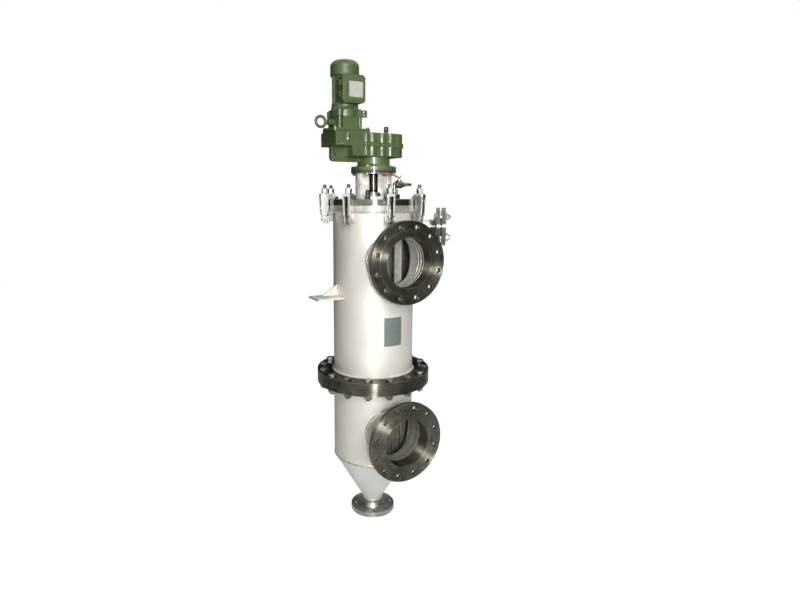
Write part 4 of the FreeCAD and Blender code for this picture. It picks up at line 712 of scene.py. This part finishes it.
# Nameplate on the upper barrel, a thin etched aluminium sheet bent to the shell and held by
# four blind rivets. Its table of ruled rows is left blank.
def ruled(name, sheet, ink, lines_at, line_width, roughness):
    """Etched sheet with dark level lines at the heights given."""
    material, tree, shader = new_finish(name)
    place = own_place(tree)
    height = along(tree, place, "Z")
    inked = None
    for line_at in lines_at:
        line = reckoned(tree, "COMPARE", height, line_at, line_width / 2)
        inked = line if inked is None else reckoned(tree, "MAXIMUM", inked, line)
    stain_and_painted_shade = noise(tree, place, scale=45.0, detail=6.0)
    tint = two_tone(tree, stain_and_painted_shade, [c * 0.86 for c in sheet], sheet)
    etched = layer(tree, "ShaderNodeBump", "Normal",
                   {"Height": inked, "Strength": 0.3, "Distance": 0.0003}, invert=True)
    feed(shader, {"Base Color": mixed(tree, inked, tint, (*ink, 1)),
                  "Normal": etched,
                  "Roughness": spread(tree, stain_and_painted_shade, roughness - 0.08, roughness + 0.08),
                  "Metallic": 0.35})
    return material


plate_low, plate_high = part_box("shell_nameplate")
name_height = plate_high[2] - plate_low[2]
table_foot, table_share, table_rows, frame_line = 0.07, 0.66, 9, 0.035
rows = [plate_low[2] + name_height * (table_foot + table_share * i / (table_rows - 1))
        for i in range(table_rows)]
rows += [plate_low[2] + name_height * frame_line, plate_high[2] - name_height * frame_line]
name_finish = ruled("etched_nameplate", (0.21, 0.25, 0.235), (0.11, 0.13, 0.12), rows,
                    line_width=0.0009, roughness=0.42)
wear(name_finish, "shell_nameplate")

name_half_arc, name_face_r, rivet_inset = math.radians(13.5), 0.1788, 0.0065
rivet_shape = spin_rings([level(0.0026, 0.0), level(0.0026, 0.0005), level(0.0021, 0.0011),
                          level(0.0012, 0.0014), level(0.0005, 0.0013)])
rivet_number = 0
for side in (-1, 1):
    for height in (plate_low[2] + rivet_inset, plate_high[2] - rivet_inset):
        azimuth = side * (name_half_arc - rivet_inset / name_face_r)
        stand = Matrix.Translation((0, 0, height)) @ Matrix.Rotation(azimuth, 4, "Z") \
            @ on_its_side @ Matrix.Translation((0, 0, name_face_r))
        rivet_number += 1
        add_piece("nameplate_rivet_%d" % rivet_number, placed(rivet_shape, stand),
                  bright_bolt_finish)


# Clamps round the cover, eight swing bolts of polished stainless steel. Each eyebolt turns on
# a pin in the claw under the top ring, and its nut draws a slotted yoke down on the cover.
def lathed(profile, around=96):
    """Ring about Z from a closed profile of (radius, height) points, going anticlockwise."""
    points = [(r * math.cos(a), r * math.sin(a), z) for a in round_angles(around)
              for r, z in profile]
    count = len(profile)
    faces = []
    for i in range(around):
        following = (i + 1) % around
        for k in range(count):
            n = (k + 1) % count
            faces.append((i * count + k, following * count + k, following * count + n,
                          i * count + n))
    return points, faces


def split_pin(turned_by):
    """Bent wire pin through a clamp pin's end, its loop on one side and two legs spread."""
    wire_r, loop_r, loop_middle = 0.00075, 0.0042, 0.0150
    loop = [Vector((loop_r * math.sin(a), 0, loop_middle - loop_r * math.cos(a)))
            for a in round_angles(12)[1:]]
    leg = ((0.0008, 0.0110), (0.0008, -0.0085), (0.0016, -0.0105), (0.0050, -0.0125),
           (0.0095, -0.0128))
    left, right = [[Vector((side * x, 0, z)) for x, z in leg] for side in (-1, 1)]
    path = list(reversed(right)) + list(reversed(loop)) + left
    shape = swept(path, [Vector((0, 1, 0))] * len(path), wire_r, wire_r, closed=False)
    return placed(shape, Matrix.Translation((0, 0.0175, 0)) @ Matrix.Rotation(turned_by, 4, "Y"))


polished_finish = bolt_metal("polished_clamp_steel", (0.80, 0.80, 0.77), (0.66, 0.66, 0.64),
                             roughness=0.20, grain=26, wear_radius=0.0016)
wear(polished_finish, "clamp_yokes", "clamp_claws")
thread_finish = bolt_metal("clamp_thread_steel", (0.34, 0.34, 0.32), (0.13, 0.13, 0.12),
                           roughness=0.30, grain=150, wear_radius=0.0005)

pin_height, clamp_r = 1.353, 0.218
eye_r, eye_half, eye_bore_r = 0.0135, 0.0085, 0.0081
eye = lathed([(eye_bore_r + 0.0008, -eye_half), (eye_r - 0.0022, -eye_half),
              (eye_r - 0.0006, -eye_half + 0.0010), (eye_r, -eye_half + 0.0030),
              (eye_r, eye_half - 0.0030), (eye_r - 0.0006, eye_half - 0.0010),
              (eye_r - 0.0022, eye_half), (eye_bore_r + 0.0008, eye_half),
              (eye_bore_r, eye_half - 0.0008), (eye_bore_r, -eye_half + 0.0008)], sides)
eyebolt_shape = joined([
    placed(eye, on_its_side),
    spin_rings([level(m16_r, 0.0100), level(m16_r, 0.0165), level(m16_r, 0.060),
                level(m16_r - 0.0008, 0.0605)]),
    threaded(2 * m16_r, m16_pitch, 0.060, 1.503 - pin_height)])
nut_low, nut_high = 1.465 - pin_height, 1.487 - pin_height
swing_nut_shape = spin_rings([
    level(m16_r - 0.0002, nut_low), level(chamfer_share * m16_flats, nut_low),
    hex_edge(m16_flats, nut_low, -0.5), hex_edge(m16_flats, nut_high, 0.5),
    level(chamfer_share * m16_flats, nut_high), level(m16_r + 0.0006, nut_high)])
clamp_pin_r, pin_head_r, pin_tail, pin_head = 0.0080, 0.0100, -0.0205, 0.01755
pin_shape = placed(spin_rings([
    level(clamp_pin_r - 0.0012, pin_tail), level(clamp_pin_r, pin_tail + 0.0012),
    level(clamp_pin_r, pin_head - 0.0030), level(pin_head_r - 0.0004, pin_head - 0.0030),
    level(pin_head_r, pin_head - 0.0026), level(pin_head_r, pin_head - 0.0008),
    level(pin_head_r - 0.0010, pin_head)]), on_its_side)

for i in range(8):
    stand = Matrix.Rotation(math.radians(-101.25 + 45 * i), 4, "Z") \
        @ Matrix.Translation((clamp_r, 0, pin_height))
    turned_nut = Matrix.Rotation(math.radians(11 * i), 4, "Z")
    number = "_%d" % (i + 1)
    eyebolt = add_piece("clamp_eyebolt" + number, placed(eyebolt_shape, stand), thread_finish)
    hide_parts("clamp_eyebolts")
    swing_nut = add_piece("clamp_nut" + number, placed(swing_nut_shape, stand @ turned_nut),
                          polished_finish)
    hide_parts("clamp_nuts")
    pin = add_piece("clamp_pin" + number, placed(pin_shape, stand), bright_bolt_finish)
    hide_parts("clamp_pins")
    wire = add_piece("clamp_split_pin" + number, placed(split_pin(math.radians(35 * i)), stand),
                     bright_bolt_finish)
    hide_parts("clamp_pins")


# Black plug on the cover, a moulded plastic cap on a hexagon base that closes a spare
# connection, and the gear unit's breather, a ribbed cap of the same black plastic.
def moulded(name, light, dark, roughness, grain):
    """Moulded plastic, faintly specked, with soft edges."""
    material, tree, shader = new_finish(name)
    speck = noise(tree, own_place(tree), scale=grain, detail=4.0)
    soft_edge = soft_edges(tree, radius=0.0012)
    feed(shader, {"Base Color": two_tone(tree, speck, dark, light, dark_at=0.0, light_at=1.0),
                  "Normal": uneven(tree, speck, strength=0.10, deep=0.0003, under=soft_edge),
                  "Roughness": spread(tree, speck, roughness - 0.07, roughness + 0.10)})
    return material


black_finish = moulded("black_moulding", (0.018, 0.019, 0.017), (0.006, 0.007, 0.006),
                       roughness=0.38, grain=500)
wear(black_finish, "cover_plug", "breather")


# Vent valve on the cover, a small nickel plated brass ball valve on an elbow, with a hose
# tail, and a bent steel lever in a soft red dipped sleeve, held by a thin nut.
nickel_finish = bolt_metal("nickel_valve", (0.42, 0.38, 0.31), (0.20, 0.18, 0.145),
                           roughness=0.24, grain=120, wear_radius=0.0009)
wear(nickel_finish, "vent_elbow", "vent_body", "vent_ball", "vent_union")
wear(bright_bolt_finish, "vent_lever", "lever_nut")

sleeve_low, sleeve_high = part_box("lever_sleeve")
sleeve_middle = [(a + b) / 2 for a, b in zip(sleeve_low, sleeve_high)]
half_wide = (sleeve_high[1] - sleeve_low[1]) / 2
half_thick = (sleeve_high[2] - sleeve_low[2]) / 2
stations, tip_share = 26, 0.09
sleeve_rings = []
for s in range(stations + 1):
    t = s / stations
    x = sleeve_low[0] + (sleeve_high[0] - sleeve_low[0]) * t
    tip = max(0.25, math.sqrt(1 - (1 - t / tip_share) ** 2)) if t < tip_share else 1.0
    mouth = 1.0 - 0.10 * math.exp(-((1 - t) / 0.05) ** 2)
    grip = 1.0 - 0.10 * math.exp(-((t - 0.62) / 0.16) ** 2)
    wide = half_wide * tip * mouth * grip
    thick = half_thick * tip * mouth
    ring = []
    for a in round_angles(28):
        y, z = math.cos(a), math.sin(a)
        ring.append((x, sleeve_middle[1] + wide * math.copysign(abs(y) ** 0.55, y),
                     sleeve_middle[2] + thick * math.copysign(abs(z) ** 0.70, z)))
    sleeve_rings.append(ring)
red_finish = moulded("red_dipped_vinyl", (0.24, 0.030, 0.019), (0.13, 0.010, 0.010),
                     roughness=0.30, grain=260)
sleeve = add_piece("lever_grip", spin_rings(sleeve_rings), red_finish,
                   "vent_handle", crease=60)
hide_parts("lever_sleeve")


# Filter screen, a basket of wedge wire: one triangular wire wound on forty rods and welded at
# each crossing, its flat face inside, between an end ring and a thin collar.
wire_pitch, wire_face, wire_back = 0.003, 0.0022, 0.0009
screen_foot, screen_wire_low, collar_low, collar_high = 0.293, 0.305, 0.656, 0.658
screen_in_r, screen_out_r, rod_out_r, collar_r = 0.146, 0.1485, 0.1525, 0.219
wire_turns = int((collar_low - screen_wire_low) / wire_pitch)
wire_steps = 72
wire_profile = ((screen_in_r, -wire_face / 2), (screen_in_r, wire_face / 2),
                (screen_out_r, wire_back / 2), (screen_out_r, -wire_back / 2))
wire_rings = []
for i in range(wire_turns * wire_steps + 1):
    a = 2 * math.pi * i / wire_steps
    z = screen_wire_low + wire_pitch * (i / wire_steps + 0.5)
    wire_rings.append([(r * math.cos(a), r * math.sin(a), z + dz) for r, dz in wire_profile])
rod_profile = [(screen_out_r - 0.0003, -0.0006), (screen_out_r + 0.0012, -0.0015),
               (rod_out_r - 0.0006, -0.0015), (rod_out_r, -0.0008), (rod_out_r, 0.0008),
               (rod_out_r - 0.0006, 0.0015), (screen_out_r + 0.0012, 0.0015),
               (screen_out_r - 0.0003, 0.0006)]
rod_shape = spin_rings([[(x, y, z) for x, y in rod_profile] for z in (screen_wire_low, collar_low)])
end_ring = lathed([(screen_in_r, screen_foot), (rod_out_r - 0.0005, screen_foot),
                   (rod_out_r, screen_foot + 0.0005), (rod_out_r, screen_wire_low - 0.0005),
                   (rod_out_r - 0.0005, screen_wire_low), (screen_in_r, screen_wire_low)])
collar = lathed([(screen_in_r, collar_low), (collar_r, collar_low),
                 (collar_r, collar_high), (screen_in_r, collar_high)])
rods = [placed(rod_shape, Matrix.Rotation(a, 4, "Z")) for a in round_angles(40)]
screen_finish = bolt_metal("wedge_wire_steel", (0.66, 0.65, 0.60), (0.44, 0.43, 0.39),
                           roughness=0.30, grain=70, wear_radius=0.0002)
screen = add_piece("wedge_wire_basket", joined([spin_rings(wire_rings), *rods, end_ring, collar]),
                   screen_finish)
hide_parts("filter_screen")


# Foot bearing, rotor and gland, turned and welded stainless steel parts inside the vessel:
# the shaft runs bright where it was ground, the scraper's flat bars keep their mill skin.
rotor_finish = bolt_metal("mill_skin_bars", (0.84, 0.83, 0.78), (0.62, 0.61, 0.56),
                          roughness=0.34, grain=45, wear_radius=0.0006, metal=0.45)
wear(rotor_finish, "foot_bearing", "scraper_frame")
shaft_finish = turned("ground_shaft", (0.085, 0.083, 0.075), roughness=0.12)
wear(shaft_finish, "drive_shaft")
gland_finish = turned("turned_gland", (0.55, 0.54, 0.51), roughness=0.30)
wear(gland_finish, "shaft_gland")
blade_finish = moulded("black_blade_plastic", (0.050, 0.050, 0.052), (0.026, 0.026, 0.027),
                       roughness=0.44, grain=240)
wear(blade_finish, "scraper_blades")


# Blade screws, pan headed M6 screws of stainless steel that hold each scraper blade to its
# carrier bar, so that a worn blade can be changed one length at a time.
screw_r, screw_high = 0.0050, 0.0028
screw_shape = spin_rings([level(screw_r, 0), level(screw_r, 0.0012), level(screw_r * 0.86, 0.0022),
                          level(screw_r * 0.5, screw_high), level(0.0009, screw_high)])
blade_low, blade_top, blade_r, blade_side = 0.295, 1.290, 0.1315, 0.010
blade_length = (blade_top - blade_low) / 3
rotor_angle = 31 - 90
screw_number = 0
for half in range(2):
    turn = Matrix.Rotation(math.radians(rotor_angle + 180 * half), 4, "Z")
    for segment in range(3):
        for share in (0.10, 0.37, 0.63, 0.90):
            height = blade_low + blade_length * (segment + share)
            stand = turn @ Matrix.Translation((blade_r, blade_side, height)) \
                @ Matrix.Rotation(-math.pi / 2, 4, "X")
            screw_number += 1
            add_piece("blade_screw_%02d" % screw_number, placed(screw_shape, stand),
                      bright_bolt_finish, "scraper_rotor")


# Lantern between cover and gear unit, a stainless pipe with two welded flanges and a window
# on the gland, ground and polished in the lathe, screwed to the cover inside its foot.
lantern_finish = turned("polished_lantern", (0.84, 0.81, 0.75), roughness=0.34, metal=0.25)
tree = lantern_finish.node_tree
# Painted shade: the head flange, in the shade under the gear unit, is painted near black.
head_low = 1.5515
head_in_shade = reckoned(tree, "GREATER_THAN", along(tree, own_place(tree), "Z"), head_low)
lay_over(lantern_finish, head_in_shade, (0.055, 0.052, 0.042, 1))
wear(lantern_finish, "lantern")
wear(bright_bolt_finish, "lantern_fixings")


# Gear unit, two cast iron housings, its output flange, the motor's adapter and its end
# shields, sand cast, machined on their joints and sprayed with leaf green enamel.
def enamel(name, green, shade, orange_peel, sand):
    """Sprayed enamel over a casting: orange peel, sand grain under it, rubbed edges."""
    material, tree, shader = new_finish(name)
    place = own_place(tree)
    drift = noise(tree, place, scale=16.0, detail=5.0)
    soft_edge = soft_edges(tree, radius=0.0026)
    bright = [c * 1.5 + 0.02 for c in green]
    grains = layer(tree, "ShaderNodeTexVoronoi", "Distance", {"Vector": place, "Scale": sand})
    coarse = uneven(tree, grains, strength=0.20, deep=0.0005, under=soft_edge)
    peel = noise(tree, place, scale=orange_peel)
    feed(shader, {"Base Color": lightened_edges(tree, soft_edge, two_tone(tree, drift, shade, green),
                                             bright, first_at=0.99, full_at=0.80, most=0.55),
                  "Normal": uneven(tree, peel, strength=0.22, deep=0.0004, under=coarse),
                  "Roughness": spread(tree, peel, low=0.36, high=0.52),
                  "Coat Weight": 0.22,
                  "Coat Roughness": 0.16})
    return material


casting_finish = enamel("green_casting_enamel", (0.071, 0.107, 0.036), (0.051, 0.079, 0.026),
                        orange_peel=190, sand=420)
wear(casting_finish, "gear_housing_lower", "gear_housing_upper", "output_flange", "motor_adapter",
     "motor_end_shield", "motor_rear_shield", "motor_frame", "lifting_eye", "terminal_box",
     "terminal_lid", "motor_bolts", "cable_plugs")
sheet_finish = enamel("green_sheet_enamel", (0.071, 0.106, 0.036), (0.053, 0.081, 0.027),
                      orange_peel=120, sand=900)
wear(sheet_finish, "fan_cowl")


# Gears, bearings, rotor and windings inside the closed housings: oiled case hardened gears,
# ground rings, a laminated core, enamelled copper coils and a black plastic fan.
gear_finish = bolt_metal("oiled_gear_steel", (0.36, 0.34, 0.30), (0.17, 0.16, 0.14),
                         roughness=0.22, grain=90, wear_radius=0.0004)
wear(gear_finish, "output_gear", "countershaft", "motor_rotor")
wear(shaft_finish, "rolling_bearings")
stator_low, stator_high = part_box("motor_stator")
stator_middle = (stator_low[2] + stator_high[2]) / 2
coil_end = 0.0089
core_half = (stator_high[2] - stator_low[2]) / 2 - coil_end
stator_finish, tree, shader = new_finish("core_and_coils")
place = own_place(tree)
core = reckoned(tree, "COMPARE", along(tree, place, "Z"), stator_middle, core_half)
sheets = layer(tree, "ShaderNodeTexWave", "Fac",
               {"Vector": place, "Scale": 300.0, "Distortion": 1.0}, bands_direction="Z")
feed(shader, {"Base Color": mixed(tree, core, (0.36, 0.13, 0.045, 1), (0.10, 0.10, 0.11, 1)),
              "Normal": uneven(tree, sheets, strength=0.5, deep=0.0004),
              "Metallic": 0.8,
              "Roughness": 0.38})
wear(stator_finish, "motor_stator")
wear(black_finish, "fan")


# Rating plate on the terminal box's lid, a light anodised sheet with a few thin ruled rows
# and four drive pins at its corners, left blank.
rating_low, rating_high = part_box("terminal_plate")
rating_height = rating_high[2] - rating_low[2]
rating_rows = [rating_low[2] + rating_height * share
               for share in (0.06, 0.20, 0.34, 0.48, 0.62, 0.76, 0.94)]
rating_finish = ruled("anodised_rating_plate", (0.56, 0.54, 0.50), (0.33, 0.32, 0.30),
                      rating_rows, line_width=0.0006, roughness=0.36)
wear(rating_finish, "terminal_plate")
drive_pin_shape = spin_rings([level(0.0016, 0), level(0.0016, 0.0003), level(0.0011, 0.0008),
                              level(0.0004, 0.0009)])
pin_inset = 0.004
drive_pin_number = 0
for x in (rating_low[0] + pin_inset, rating_high[0] - pin_inset):
    for z in (rating_low[2] + pin_inset, rating_high[2] - pin_inset):
        stand = Matrix.Translation((x, rating_low[1] + 0.0002, z)) @ on_its_side
        drive_pin_number += 1
        add_piece("rating_plate_pin_%d" % drive_pin_number, placed(drive_pin_shape, stand),
                  bright_bolt_finish)
